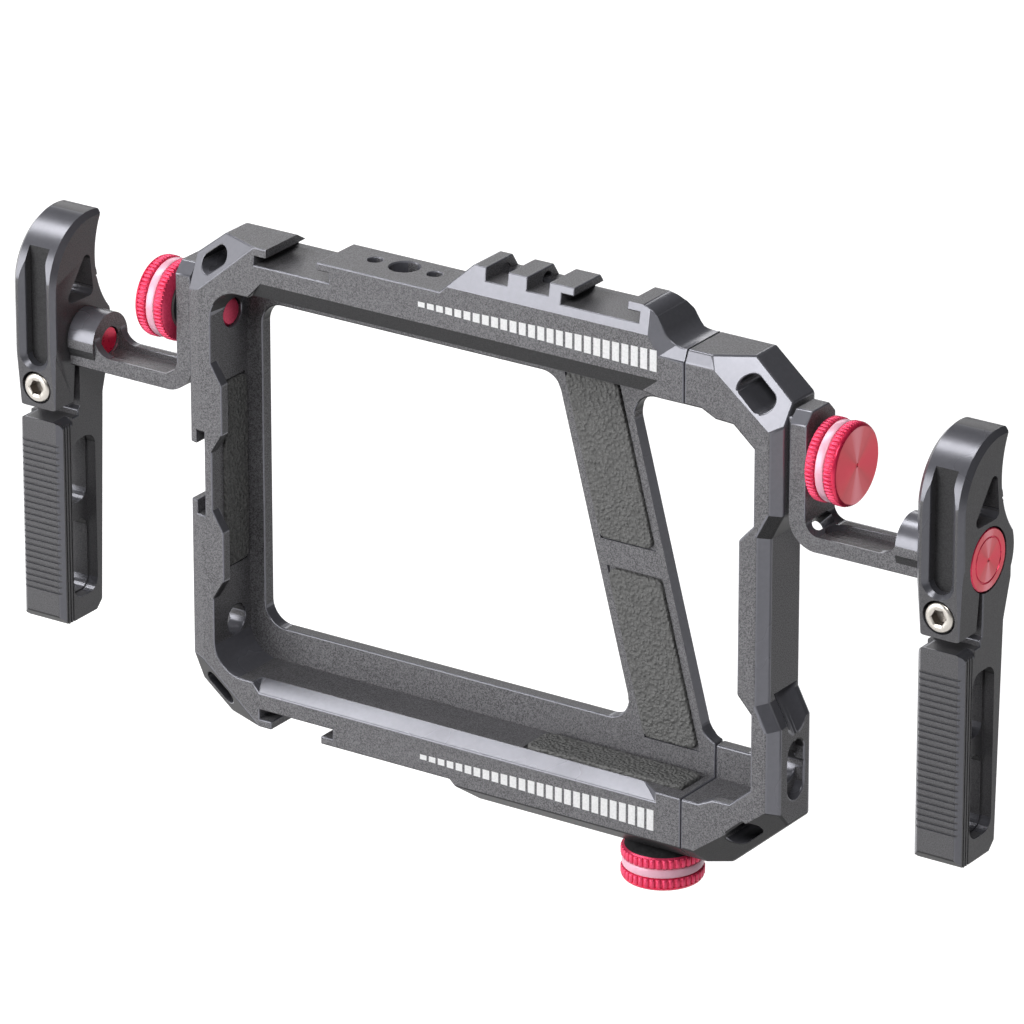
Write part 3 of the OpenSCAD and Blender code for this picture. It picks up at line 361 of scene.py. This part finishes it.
# cuts afresh each many-sided face whose own outline folds over itself after the rounding
def mended(shell):
    cover = {}
    for loops in shell.calc_loop_triangles():
        a, b, c = (loop.vert.co for loop in loops)
        face = loops[0].face
        cover[face] = cover.get(face, 0) + area_tri(a, b, c)
    folded = [f for f, area in cover.items()
              if len(f.verts) > 4 and area > f.calc_area() + FOLD]
    for face in folded:
        normal = face.normal.copy()
        side = normal.orthogonal().normalized()
        up = normal.cross(side)
        verts = list(face.verts)
        flat = [Vector((v.co.dot(side), v.co.dot(up))) / MM for v in verts]
        level = face.calc_center_median().dot(normal)
        rim = [(k, (k + 1) % len(verts)) for k in range(len(verts))]
        points, _, pieces, origin, _, _ = delaunay_2d_cdt(flat, rim, [], 5, 1e-4)
        shell.faces.remove(face)
        stood = [verts[origin[k][0]] if origin[k] else
                 shell.verts.new((side * p.x + up * p.y) * MM + normal * level)
                 for k, p in enumerate(points)]
        for piece in pieces:
            corners = [stood[k] for k in piece]
            if len(set(corners)) > 2 and not shell.faces.get(corners):
                fresh = shell.faces.new(corners)
                fresh.normal_update()
                if fresh.normal.dot(normal) < 0:
                    fresh.normal_flip()


# shading normals that keep each flat face flat and bend only across the rounds beside it
def crisp_normals(shell, rounds):
    area = {f: f.calc_area() for f in shell.faces}
    flat = set()
    for face in shell.faces:
        soft = [g for e in face.edges if e.smooth for g in e.link_faces
                if g is not face and g not in rounds and e.calc_face_angle(0) > BENT]
        if face not in rounds and all(area[g] < SMALL * area[face] for g in soft):
            flat.add(face)
    normals = []
    for face in shell.faces:
        for loop in face.loops:
            if face in flat:
                normals.append(face.normal.copy())
                continue
            fan, todo = {face}, [face]
            while todo:
                for edge in todo.pop().edges:
                    if edge.smooth and loop.vert in edge.verts:
                        for other in edge.link_faces:
                            if other not in fan:
                                fan.add(other)
                                todo.append(other)
            beside = {g for e in face.edges if e.smooth and loop.vert in e.verts
                      for g in e.link_faces}
            shown = (flat & beside) or (flat & fan) or fan
            total = Vector()
            for other in sorted(shown, key=lambda f: f.index):
                total += other.normal * area[other]
            normals.append(total.normalized() if total.length > 0 else face.normal.copy())
    return normals


# rounds the long outer edges of a machined piece, leaving edges beside very short ones alone;
# where a rounding runs away or leaves the metal, all is tried again without that corner
def eased(node, width, most_sides):
    plain = bmesh.new()
    plain.from_mesh(frame["nodes"][node].data)
    bmesh.ops.remove_doubles(plain, verts=plain.verts, dist=WELD)
    bmesh.ops.dissolve_limit(plain, angle_limit=FLAT, verts=plain.verts, edges=plain.edges,
                             use_dissolve_boundaries=False)
    for group in (plain.verts, plain.edges):
        group.index_update()
        group.ensure_lookup_table()
    short = ROOM * width
    keen = {e for e in plain.edges if len(e.link_faces) == 2 and e.is_convex
            and e.calc_face_angle(0) > KEEN}

    def crowded(corner):
        inside = [e for e in corner.link_edges if e in keen]
        for edge in corner.link_edges:
            if edge.calc_length() >= short:
                continue
            if edge in keen:
                way = (edge.other_vert(corner).co - corner.co).normalized()
                runs_on = any(way.dot((e.other_vert(corner).co - corner.co).normalized()) < -0.9
                              for e in inside if e is not edge)
                if runs_on and len(inside) == 2:
                    continue
            return True
        return False

    tight = {v.index for v in plain.verts if any(e in keen for e in v.link_edges) and crowded(v)}
    slim = {f for f in plain.faces if len(f.verts) > most_sides
            and 2 * f.calc_area() < short * f.calc_perimeter()}
    roomy = sorted(e.index for e in keen if not any(f in slim for f in e.link_faces)
                   and all(clear_run(e, face) > short for face in e.link_faces))
    skin = BVHTree.FromBMesh(plain)
    corners = KDTree(len(plain.verts))
    for v in plain.verts:
        corners.insert(v.co, v.index)
    corners.balance()
    for _ in range(TRIES):
        shell = plain.copy()
        for group in (shell.verts, shell.edges):
            group.index_update()
            group.ensure_lookup_table()
        chosen = [shell.edges[k] for k in roomy
                  if not any(v.index in tight for v in shell.edges[k].verts)]
        made = bmesh.ops.bevel(shell, geom=chosen, offset=width, offset_type="OFFSET",
                               segments=ROUND_STEPS, profile=0.5, affect="EDGES",
                               clamp_overlap=False, loop_slide=False)
        stray = set()
        for v in shell.verts:
            near, normal, _, _ = skin.find_nearest(v.co)
            off = v.co - near
            gone = corners.find(v.co)[2] > RUN_AWAY * width
            if gone or off.dot(normal) > SKIN or off.length > width:
                for w in [v] + [e.other_vert(v) for e in v.link_edges]:
                    stray |= {hit[1] for hit in corners.find_range(w.co, 2 * width)}
        if not stray - tight:
            break
        tight |= stray
        shell.free()
    fresh = {f for f in made["faces"] if f.is_valid}
    mended(shell)
    for edge in shell.edges:
        soft = ROUND_SOFT if any(f in fresh for f in edge.link_faces) else CREASE
        edge.smooth = len(edge.link_faces) == 2 and edge.calc_face_angle(0) < soft
    for face in shell.faces:
        face.smooth = True
        x, y, z = (abs(n) for n in face.normal)
        square = max(x, y, z) > SQUARE_ON or (z < LEVEL and y > FACES_ON)
        slim_face = 2 * face.calc_area() < LEDGE * face.calc_perimeter()
        # slim ledges that face up get the brighter cut finish, a painted highlight on their lit
        # tops
        if square and not (slim_face and face.normal.z > SQUARE_ON):
            face.material_index = BLASTED
        else:
            # slanted faces that look down get the darker finish as painted shade
            face.material_index = PAINTED_SHADE if face.normal.z < LOOKS_DOWN else CUT
    shell.faces.index_update()
    shell.normal_update()
    normals = crisp_normals(shell, fresh)
    mesh = bpy.data.meshes.new(node + "_eased")
    shell.to_mesh(mesh)
    shell.free()
    plain.free()
    mesh.normals_split_custom_set(normals)
    return mesh


body_of = {node: body for body, nodes in frame["record"]["behaviour"]["bodies"].items()
           for node in nodes}
cage_finishes = (cage_grey, cage_cut, cage_painted_shade)
handle_finishes = (handle_grey, handle_cut, handle_painted_shade)

# for each machined piece the width of its rounds in mm, the sides from which on
# a slim face is left alone, its finishes and its slot
machined = {
    "main_frame": (0.3, 8, cage_finishes, "cage_grey"),
    "slide_end": (0.42, 8, cage_finishes, "cage_grey"),
    "left_bracket": (0.32, 0, cage_finishes, "cage_grey"),
    "right_bracket": (0.32, 0, cage_finishes, "cage_grey"),
    "left_handle": (0.3, 0, handle_finishes, "handle_grey"),
    "right_handle": (0.3, 0, handle_finishes, "handle_grey"),
    "guide_screws": (0.12, 8, (guide_steel, guide_steel, guide_steel), "steel"),
}
for node, (width, most_sides, finishes, slot) in machined.items():
    eased_mesh = eased(node, width * MM, most_sides)
    # the floor of each handle's front recess gets the darker finish as painted shade
    if slot == "handle_grey":
        for face in eased_mesh.polygons:
            if face.normal.y < -SQUARE_ON and face.area > RECESS_FLOOR:
                face.material_index = PAINTED_SHADE
    piece = new_piece(node + "_machined", eased_mesh, body_of[node], slot, *finishes)
    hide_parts(node)

plain_pieces = {
    "upper_guide_rod": guide_steel, "lower_guide_bar": guide_steel, "left_dowels": guide_steel,
    "right_dowels": guide_steel, "lock_pad": pad_brass, "left_washer": nylon_and_painted_shade, "right_washer": nylon_and_painted_shade,
}
for node, material in plain_pieces.items():
    mesh = frame["nodes"][node].data
    mesh.materials.clear()
    mesh.materials.append(material)


AROUND = 96
TURNED_SOFT = math.radians(32)


# turns a profile of (radius, height, material) rows about the Z axis into a closed shell,
# where a fourth number makes a row a polygon with that many flats
def turned(profile):
    shell = bmesh.new()
    rings = []
    for radius, height, _, *flats in profile:
        if radius == 0:
            rings.append([shell.verts.new((0, 0, height))])
            continue
        ring = []
        for k in range(AROUND):
            angle = 2 * math.pi * k / AROUND
            reach = radius
            if flats:
                half = math.pi / flats[0]
                reach *= math.cos(half) / math.cos(angle % (2 * half) - half)
            ring.append(shell.verts.new((reach * math.cos(angle), reach * math.sin(angle), height)))
        rings.append(ring)
    for (low, high), row in zip(zip(rings, rings[1:]), profile):
        for k in range(AROUND):
            n = (k + 1) % AROUND
            corners = ([low[0], high[n], high[k]] if len(low) == 1 else
                       [low[k], low[n], high[0]] if len(high) == 1 else
                       [low[k], low[n], high[n], high[k]])
            face = shell.faces.new(corners)
            face.material_index = row[2]
            face.smooth = True
    bmesh.ops.recalc_face_normals(shell, faces=shell.faces)
    mesh = bpy.data.meshes.new("turned")
    shell.to_mesh(mesh)
    shell.free()
    # painted sheen: a painted reflection in two bright and two dull sectors round the axis, kept
    # per point for the face's colour
    sheen = mesh.attributes.new("sheen", "FLOAT", "POINT")
    for v, value in zip(mesh.vertices, sheen.data):
        value.value = 0.5
        if v.co.to_2d().length > 0:
            value.value += 0.5 * math.cos(2 * math.atan2(v.co.y, v.co.x))
    mesh.set_sharp_from_angle(angle=TURNED_SOFT)
    return mesh


# one rib of a knurled band, standing along Z between two heights with its crest out along X
def knurl_rib(wide, tall, base, top):
    shell = bmesh.new()
    foot = -0.25 * tall
    side = [(foot, -wide / 2), (0.55 * tall, -wide * 0.36), (tall, -wide * 0.14),
            (tall, wide * 0.14), (0.55 * tall, wide * 0.36), (foot, wide / 2)]
    tip = [(foot, -wide / 2), (0.3 * tall, -wide * 0.3), (0.55 * tall, -wide * 0.1),
           (0.55 * tall, wide * 0.1), (0.3 * tall, wide * 0.3), (foot, wide / 2)]
    taper = 0.14 * (top - base)
    levels = [(base, tip), (base + taper, side), (top - taper, side), (top, tip)]
    rows = [[shell.verts.new((x, y, z)) for x, y in outline] for z, outline in levels]
    for low, up in zip(rows, rows[1:]):
        for k in range(len(side)):
            n = (k + 1) % len(side)
            shell.faces.new([low[k], low[n], up[n], up[k]]).smooth = True
    shell.faces.new(list(reversed(rows[0])))
    shell.faces.new(rows[-1])
    bmesh.ops.recalc_face_normals(shell, faces=shell.faces)
    mesh = bpy.data.meshes.new("knurl_rib")
    shell.to_mesh(mesh)
    shell.free()
    return mesh


def tree_of(name, sockets):
    """A Geometry Nodes tree with a Geometry input and output and the named inputs."""
    tree = bpy.data.node_groups.new(name, "GeometryNodeTree")
    tree.interface.new_socket("Geometry", in_out="INPUT", socket_type="NodeSocketGeometry")
    for label, kind in sockets.items():
        tree.interface.new_socket(label, in_out="INPUT", socket_type=kind)
    tree.interface.new_socket("Geometry", in_out="OUTPUT", socket_type="NodeSocketGeometry")
    return tree, Wire(tree), tree.nodes.new("NodeGroupInput"), tree.nodes.new("NodeGroupOutput")


def set_inputs(modifier, tree, values):
    ids = {item.name: item.identifier for item in tree.interface.items_tree
           if item.in_out == "INPUT"}
    for label, value in values.items():
        modifier[ids[label]] = value


# ribs standing in a ring round the Z axis
def knurl_tree():
    tree, wire, given, result = tree_of("knurl_ring", {
        "Rib": "NodeSocketObject", "Count": "NodeSocketInt", "Radius": "NodeSocketFloat",
        "Finish": "NodeSocketMaterial"})
    take = {s.name: Wire(tree, s) for s in given.outputs}
    turn = wire.node("GeometryNodeInputIndex") * (2 * math.pi / take["Count"])
    circle = wire.node("GeometryNodeMeshCircle", {}, {
        "Vertices": take["Count"], "Radius": take["Radius"]})
    rib = wire.node("GeometryNodeObjectInfo", {}, {"Object": take["Rib"]}, "Geometry")
    spin = wire.node("ShaderNodeCombineXYZ", {}, {"Z": turn})
    stood = wire.node("GeometryNodeInstanceOnPoints", {}, {
        "Points": circle, "Instance": rib, "Rotation": spin})
    real = wire.node("GeometryNodeRealizeInstances", {}, {"Geometry": stood})
    dressed = wire.node("GeometryNodeSetMaterial", {}, {
        "Geometry": real, "Material": take["Finish"]})
    tree.links.new(dressed.socket, result.inputs[0])
    return tree


# the places of a knob's finishes, and its heights and radii
KNURL, FACE, RING, SHOULDER, BASE = range(5)
KNOB_L = 7.8 * MM
BAND_LOW = 0.8 * MM
RING_LOW = 2.81 * MM
RING_HIGH = 5.15 * MM
BAND_HIGH = 7.1 * MM
RIB_TALL = 0.42 * MM
RIB_SHARE = 0.92
SCREW_R = 3.1 * MM
TURN_PITCH, TURN_DEPTH = 0.26 * MM, 0.036 * MM
DIMPLE_R = 0.85 * MM
knurl = knurl_tree()


# rows of a face turned with fine rings, from a radius down to the dimple in its middle
def turned_face(radius, height, mark):
    rows = []
    while radius > DIMPLE_R:
        rows.append((radius, height - TURN_DEPTH, mark))
        rows.append((radius - TURN_PITCH / 2, height, mark))
        radius -= TURN_PITCH
    return rows + [(0.5 * MM, height - 0.02 * MM, mark), (0.3 * MM, height - 0.2 * MM, mark),
                   (0, height - 0.24 * MM, mark)]


# rows of a knob from the tip of its screw to the middle of its face, with the finish of its base
def knob_profile(radius, shank, base):
    core = radius - RIB_TALL
    low = radius - 2.4 * MM
    groove = radius - 0.7 * MM
    ring = radius - 0.28 * MM
    rows = [
        (0, -shank, KNURL), (SCREW_R - 0.5 * MM, -shank, KNURL),
        (SCREW_R, -shank + 0.5 * MM, KNURL), (SCREW_R, 0, base),
        (low - 0.2 * MM, 0, base), (low, 0.12 * MM, base),
        (core - 0.35 * MM, BAND_LOW - 0.3 * MM, KNURL), (core, BAND_LOW, KNURL),
        (core, RING_LOW - 0.1 * MM, KNURL), (groove, RING_LOW, KNURL),
        (groove, RING_LOW + 0.12 * MM, RING), (ring - 0.08 * MM, RING_LOW + 0.3 * MM, RING),
        (ring, RING_LOW + 0.5 * MM, RING), (ring, RING_HIGH - 0.5 * MM, RING),
        (ring - 0.08 * MM, RING_HIGH - 0.3 * MM, RING), (groove, RING_HIGH - 0.12 * MM, KNURL),
        (groove, RING_HIGH, KNURL), (core, RING_HIGH + 0.1 * MM, KNURL),
        (core, BAND_HIGH - 0.2 * MM, SHOULDER),
        (radius - 0.16 * MM, BAND_HIGH - 0.02 * MM, SHOULDER),
        (radius - 0.2 * MM, KNOB_L - 0.52 * MM, SHOULDER),
        (radius - 0.42 * MM, KNOB_L - 0.2 * MM, SHOULDER),
        (radius - 0.72 * MM, KNOB_L - 0.04 * MM, FACE), (radius - 0.86 * MM, KNOB_L, FACE)]
    return rows + turned_face(radius - 1.0 * MM, KNOB_L, FACE)


def set_up(mesh, axis_point, way):
    """Moves a mesh made on the Z axis so that Z goes along a way from a point."""
    turn = Vector((0, 0, 1)).rotation_difference(Vector(way)).to_matrix().to_4x4()
    mesh.transform(Matrix.Translation(axis_point) @ turn)
    return mesh


# a ring of ribs between two heights on the Z axis
def knurled_band(radius, count, base, top):
    pitch = 2 * math.pi * radius / count
    rib = bpy.data.objects.new("rib_form", knurl_rib(pitch * RIB_SHARE, RIB_TALL, base, top))
    work = bpy.data.objects.new("band_work", bpy.data.meshes.new("band"))
    for made in (rib, work):
        bpy.context.scene.collection.objects.link(made)
    ring = work.modifiers.new("knurl", "NODES")
    ring.node_group = knurl
    sunk = 0.01 * MM
    set_inputs(ring, knurl, {"Rib": rib, "Count": count, "Radius": radius - RIB_TALL - sunk,
                             "Finish": knurl_red})
    mesh = plain_mesh(work)
    bpy.data.objects.remove(rib)
    return mesh


def thumb_knob(node, axis, way, ribs, base):
    """A turned and knurled knob in place of its node, its face looking along an axis."""
    low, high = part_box(node)
    across = (axis + 1) % 3
    radius = (high[across] - low[across]) / 2
    foot = centre_of(low, high)
    foot[axis] = high[axis] - KNOB_L if way > 0 else low[axis] + KNOB_L
    out = [0, 0, 0]
    out[axis] = way
    shank = high[axis] - low[axis] - KNOB_L
    core = set_up(turned(knob_profile(radius, shank, base)), foot, out)
    piece = new_piece(node + "_turned", core, body_of[node], "red_anodised",
                      knurl_red, face_red_painted_sheen, ring_painted_highlight, shoulder_red, nylon_and_painted_shade)
    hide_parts(node)
    for label, start, end in (("low", BAND_LOW, RING_LOW), ("high", RING_HIGH, BAND_HIGH)):
        band = set_up(knurled_band(radius, ribs, start, end), foot, out)
        new_piece(node + "_" + label + "_knurl", band, body_of[node], "red_anodised")


SIDE_RIBS, LOCK_RIBS = 58, 40
thumb_knob("right_knob", 0, 1, SIDE_RIBS, KNURL)
thumb_knob("left_knob", 0, -1, SIDE_RIBS, KNURL)
# the lock knob's base gets the dark nylon finish as painted shade under the rail
thumb_knob("lock_knob", 2, -1, LOCK_RIBS, BASE)


# a tilt pin with its turned head, in place of its node
def tilt_pin(node, way):
    low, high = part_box(node)
    long = high[0] - low[0]
    head_r = (high[1] - low[1]) / 2
    tip_r, pin_r, tip_l, head_t = 3.0 * MM, 4.0 * MM, 6.2 * MM, 2.0 * MM
    ring_r, line, line_d = 0.72 * head_r, 0.4 * MM, 0.2 * MM
    rows = [(0, 0.15 * MM, 0), (tip_r - 0.9 * MM, 0.02 * MM, 0), (tip_r - 0.25 * MM, 0, 0),
            (tip_r, 0.25 * MM, 0), (tip_r, tip_l, 0), (pin_r, tip_l, 0), (pin_r, long - head_t, 0),
            (head_r - 0.15 * MM, long - head_t, 0), (head_r, long - head_t + 0.15 * MM, 0),
            (head_r, long - 0.25 * MM, 0), (head_r - 0.25 * MM, long, 1),
            (ring_r + line / 2, long, 0), (ring_r + line / 4, long - line_d, 0),
            (ring_r - line / 4, long - line_d, 0)]
    rows += turned_face(ring_r - line / 2, long, 1)
    foot = centre_of(low, high)
    foot[0] = low[0] if way > 0 else high[0]
    mesh = set_up(turned(rows), foot, (way, 0, 0))
    piece = new_piece(node + "_turned", mesh, body_of[node], "red_anodised",
                      shoulder_red, face_red_painted_sheen)
    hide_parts(node)


tilt_pin("right_pivot_pin", 1)
tilt_pin("left_pivot_pin", -1)


# a clamp bolt with a domed rim and a hexagon socket, in place of its node
def clamp_bolt(node):
    low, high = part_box(node)
    head_r = (high[0] - low[0]) / 2
    long = high[1] - low[1]
    head_h, stem_r, socket_r, socket_d = 4.0 * MM, 2.0 * MM, 1.73 * MM, 2.2 * MM
    rows = [(0, long, 0), (stem_r - 0.3 * MM, long, 0), (stem_r, long - 0.3 * MM, 0),
            (stem_r, head_h, 0), (head_r, head_h, 0), (head_r, 0.75 * MM, 0),
            (head_r - 0.12 * MM, 0.4 * MM, 0), (head_r - 0.36 * MM, 0.16 * MM, 0),
            (head_r - 0.75 * MM, 0.03 * MM, 0), (head_r - 1.0 * MM, 0, 0),
            (socket_r + 0.25 * MM, 0, 0), (socket_r, 0.22 * MM, 1, 6), (socket_r, socket_d, 1, 6),
            (0, socket_d + 0.3 * MM, 1)]
    mesh = turned([(row[0], -row[1], *row[2:]) for row in rows])
    foot = centre_of(low, high)
    foot[1] = low[1]
    piece = new_piece(node + "_turned", set_up(mesh, foot, (0, -1, 0)), body_of[node], "nickel",
                      bolt_nickel, socket_nickel_painted_shade)
    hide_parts(node)


clamp_bolt("right_clamp_bolt")
clamp_bolt("left_clamp_bolt")


PAD_R, PAD_STEPS = 1.6 * MM, 6
PAD_SOFT = math.radians(50)
# the side and the crown of a pad: inset in mm, and height as a share of its thickness
PAD_ROWS = [(0.3, 0.0), (0.3, 0.58), (0.38, 0.68), (0.55, 0.75), (0.9, 0.79), (1.5, 0.8)]


# a rubber pad with rounded corners and a soft crowned top, from its four corners
# and the way it faces
def rubber_pad(name, node, corners, out, thick):
    out = Vector(out)
    points = [Vector(c) for c in corners]
    outline = []
    for k, corner in enumerate(points):
        before, after = points[k - 1], points[(k + 1) % 4]
        a, b = (before - corner).normalized(), (after - corner).normalized()
        half = a.angle(b) / 2
        start, end = (corner + side * PAD_R / math.tan(half) for side in (a, b))
        centre = corner + (a + b).normalized() * PAD_R / math.sin(half)
        for s in range(PAD_STEPS + 1):
            t = s / PAD_STEPS
            way = ((start - centre) * (1 - t) + (end - centre) * t).normalized()
            outline.append(centre + way * PAD_R)
    middle = sum(points, Vector()) / 4
    shell = bmesh.new()
    rings = []
    for inset, rise in PAD_ROWS:
        row = []
        for point in outline:
            toward = (middle - point).normalized()
            row.append(shell.verts.new(point + toward * inset * MM + out * rise * thick))
        rings.append(row)
    count = len(outline)
    for low_row, up_row in zip(rings, rings[1:]):
        for k in range(count):
            n = (k + 1) % count
            shell.faces.new([low_row[k], low_row[n], up_row[n], up_row[k]])
    shell.faces.new(rings[0])
    shell.faces.new(rings[-1])
    bmesh.ops.recalc_face_normals(shell, faces=shell.faces)
    mesh = bpy.data.meshes.new(name)
    shell.to_mesh(mesh)
    shell.free()
    for face in mesh.polygons:
        face.use_smooth = True
    mesh.set_sharp_from_angle(angle=PAD_SOFT)
    piece = new_piece(name, mesh, body_of[node], "pad", rubber)
    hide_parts(node)


def box_pad(node, axis, side):
    """A pad from its box, lying against one face and facing along an axis."""
    low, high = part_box(node)
    thick = high[axis] - low[axis]
    u, v = [k for k in range(3) if k != axis]
    corners = []
    for a, b in ((0, 0), (1, 0), (1, 1), (0, 1)):
        point = [0, 0, 0]
        point[u] = (low, high)[a][u]
        point[v] = (low, high)[b][v]
        point[axis] = low[axis] if side > 0 else high[axis]
        corners.append(point)
    out = [0, 0, 0]
    out[axis] = side
    rubber_pad(node + "_rubber", node, corners, out, thick)


BAR_LEAN = 0.263


def bar_pad(node):
    """A pad on the slanted bar, whose upper end stands off to the left."""
    low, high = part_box(node)
    shift = BAR_LEAN * (high[2] - low[2])
    corners = [(low[0] + shift, high[1], low[2]), (high[0], high[1], low[2]),
               (high[0] - shift, high[1], high[2]), (low[0], high[1], high[2])]
    rubber_pad(node + "_rubber", node, corners, (0, -1, 0), high[1] - low[1])


bar_pad("upper_bar_pad")
bar_pad("lower_bar_pad")
box_pad("left_wall_pad", 0, 1)
box_pad("right_wall_pad", 0, -1)
box_pad("floor_pad", 2, 1)
box_pad("ceiling_pad", 2, -1)


# a row of upright printed bars that grow taller from one end to the other
def bar_row_tree():
    tree, wire, given, result = tree_of("growing_bars", {
        "Bar": "NodeSocketObject", "Count": "NodeSocketInt", "Pitch": "NodeSocketFloat",
        "Start": "NodeSocketFloat", "Growth": "NodeSocketFloat", "Finish": "NodeSocketMaterial"})
    take = {s.name: Wire(tree, s) for s in given.outputs}
    index = wire.node("GeometryNodeInputIndex")
    run = wire.node("ShaderNodeCombineXYZ", {}, {"X": take["Pitch"]})
    line = wire.node("GeometryNodeMeshLine", {"mode": "OFFSET"}, {
        "Count": take["Count"], "Offset": run})
    size = wire.node("ShaderNodeCombineXYZ", {}, {
        "X": 1.0, "Y": 1.0, "Z": take["Start"] + take["Growth"] * index})
    bar = wire.node("GeometryNodeObjectInfo", {}, {"Object": take["Bar"]}, "Geometry")
    stood = wire.node("GeometryNodeInstanceOnPoints", {}, {
        "Points": line, "Instance": bar, "Scale": size})
    real = wire.node("GeometryNodeRealizeInstances", {}, {"Geometry": stood})
    dressed = wire.node("GeometryNodeSetMaterial", {}, {
        "Geometry": real, "Material": take["Finish"]})
    tree.links.new(dressed.socket, result.inputs[0])
    return tree


bar_row = bar_row_tree()
BARS = 26
BAR_PITCH, BAR_WIDE, BAR_THICK = 2.25 * MM, 1.65 * MM, 0.06 * MM
BAR_FIRST, BAR_LAST = 1.1 * MM, 4.6 * MM


def printed_bars(name, start):
    """A row of printed bars on the front of the frame, from the middle of its first bar."""
    shell = bmesh.new()
    bmesh.ops.create_cube(shell, size=1.0)
    bmesh.ops.scale(shell, verts=shell.verts, vec=(BAR_WIDE, BAR_THICK, 1.0))
    form_mesh = bpy.data.meshes.new("bar_form")
    shell.to_mesh(form_mesh)
    shell.free()
    form = bpy.data.objects.new("bar_form", form_mesh)
    work = bpy.data.objects.new(name + "_work", bpy.data.meshes.new(name))
    for made in (form, work):
        bpy.context.scene.collection.objects.link(made)
    row = work.modifiers.new("bars", "NODES")
    row.node_group = bar_row
    set_inputs(row, bar_row, {"Bar": form, "Count": BARS, "Pitch": BAR_PITCH, "Start": BAR_FIRST,
                              "Growth": (BAR_LAST - BAR_FIRST) / (BARS - 1), "Finish": ink})
    mesh = plain_mesh(work)
    bpy.data.objects.remove(form)
    mesh.transform(Matrix.Translation(start))
    new_piece(name, mesh, "frame", "")


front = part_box("main_frame")[0][1]
printed_bars("upper_rail_bars", (9 * MM, front, 103.9 * MM))
printed_bars("lower_rail_bars", (9 * MM, front, 3.4 * MM))


FLOOR_LEVEL = -0.09
FLOOR_HALF = 6.0
FLOOR_SEEN = 0.93
FLOOR_BOUNCE = 0.2
FLOOR_LIFT = 0.4


# pale floor that looks almost white and throws little light back up
def pale_floor():
    mesh = bpy.data.meshes.new("floor")
    corners = [(-1, -1), (1, -1), (1, 1), (-1, 1)]
    mesh.from_pydata([(x * FLOOR_HALF, y * FLOOR_HALF, FLOOR_LEVEL) for x, y in corners],
                     [], [(0, 1, 2, 3)])
    made, place, shader = finish("pale_floor", {
        "Roughness": 0.9, "Specular IOR Level": 0.1, "Emission Strength": 1.0})
    rays = ["Is Camera Ray", "Is Glossy Ray", "Is Transmission Ray"]
    camera_ray, glossy_ray, through_ray = [
        place.node("ShaderNodeLightPath", out=ray) for ray in rays]
    seen = place.sum("MINIMUM", camera_ray + glossy_ray + through_ray, 1.0)
    plug(shader,
         colour=seen.mix(grey(FLOOR_BOUNCE), grey(FLOOR_SEEN)),
         glow=seen.mix(grey(0), grey(FLOOR_LIFT)))
    mesh.materials.append(made)
    floor = bpy.data.objects.new("floor", mesh)
    bpy.context.scene.collection.objects.link(floor)


AIM = Vector((0.022, 0, 0.05))


def soft_lamp(name, way, far, size, glow):
    """A softbox off in one direction, with a glow for each square metre of its face."""
    lamp = bpy.data.lights.new(name, "AREA")
    lamp.shape = "RECTANGLE"
    lamp.size, lamp.size_y = size
    lamp.energy = glow * math.pi * size[0] * size[1]
    made = bpy.data.objects.new(name, lamp)
    made.location = AIM + Vector(way).normalized() * far
    made.rotation_euler = (AIM - made.location).to_track_quat("-Z", "Y").to_euler()
    bpy.context.scene.collection.objects.link(made)


pale_floor()
soft_lamp("front_left_panel", (-0.52, -0.82, 0.20), 1.5, (1.1, 1.0), 5.9)
soft_lamp("overhead_panel", (-0.52, -0.03, 0.855), 1.3, (0.36, 0.9), 10)
soft_lamp("corner_panel", (0.34, -0.63, 0.70), 1.4, (0.45, 0.45), 10)
soft_lamp("back_left_panel", (-0.52, 0.77, 0.38), 1.5, (0.6, 0.5), 2.5)
soft_lamp("left_panel", (-0.94, -0.31, 0.13), 1.5, (0.6, 0.6), 2)

world = bpy.data.worlds.new("studio")
world.use_nodes = True
sky = world.node_tree.nodes["Background"]
sky.inputs["Color"].default_value = grey(1)
sky.inputs["Strength"].default_value = 0.07
bpy.context.scene.world = world

lens = bpy.data.cameras.new("photo_view")
lens.sensor_width = 36
lens.lens = 292.26
lens.clip_start, lens.clip_end = 0.05, 50
camera = bpy.data.objects.new("photo_view", lens)
camera.location = (0.9086, -1.3059, 0.7028)
camera.rotation_euler = (math.radians(67.8), 0, math.radians(34.06))
bpy.context.scene.collection.objects.link(camera)
bpy.context.scene.camera = camera
bpy.context.scene.view_settings.view_transform = "Standard"
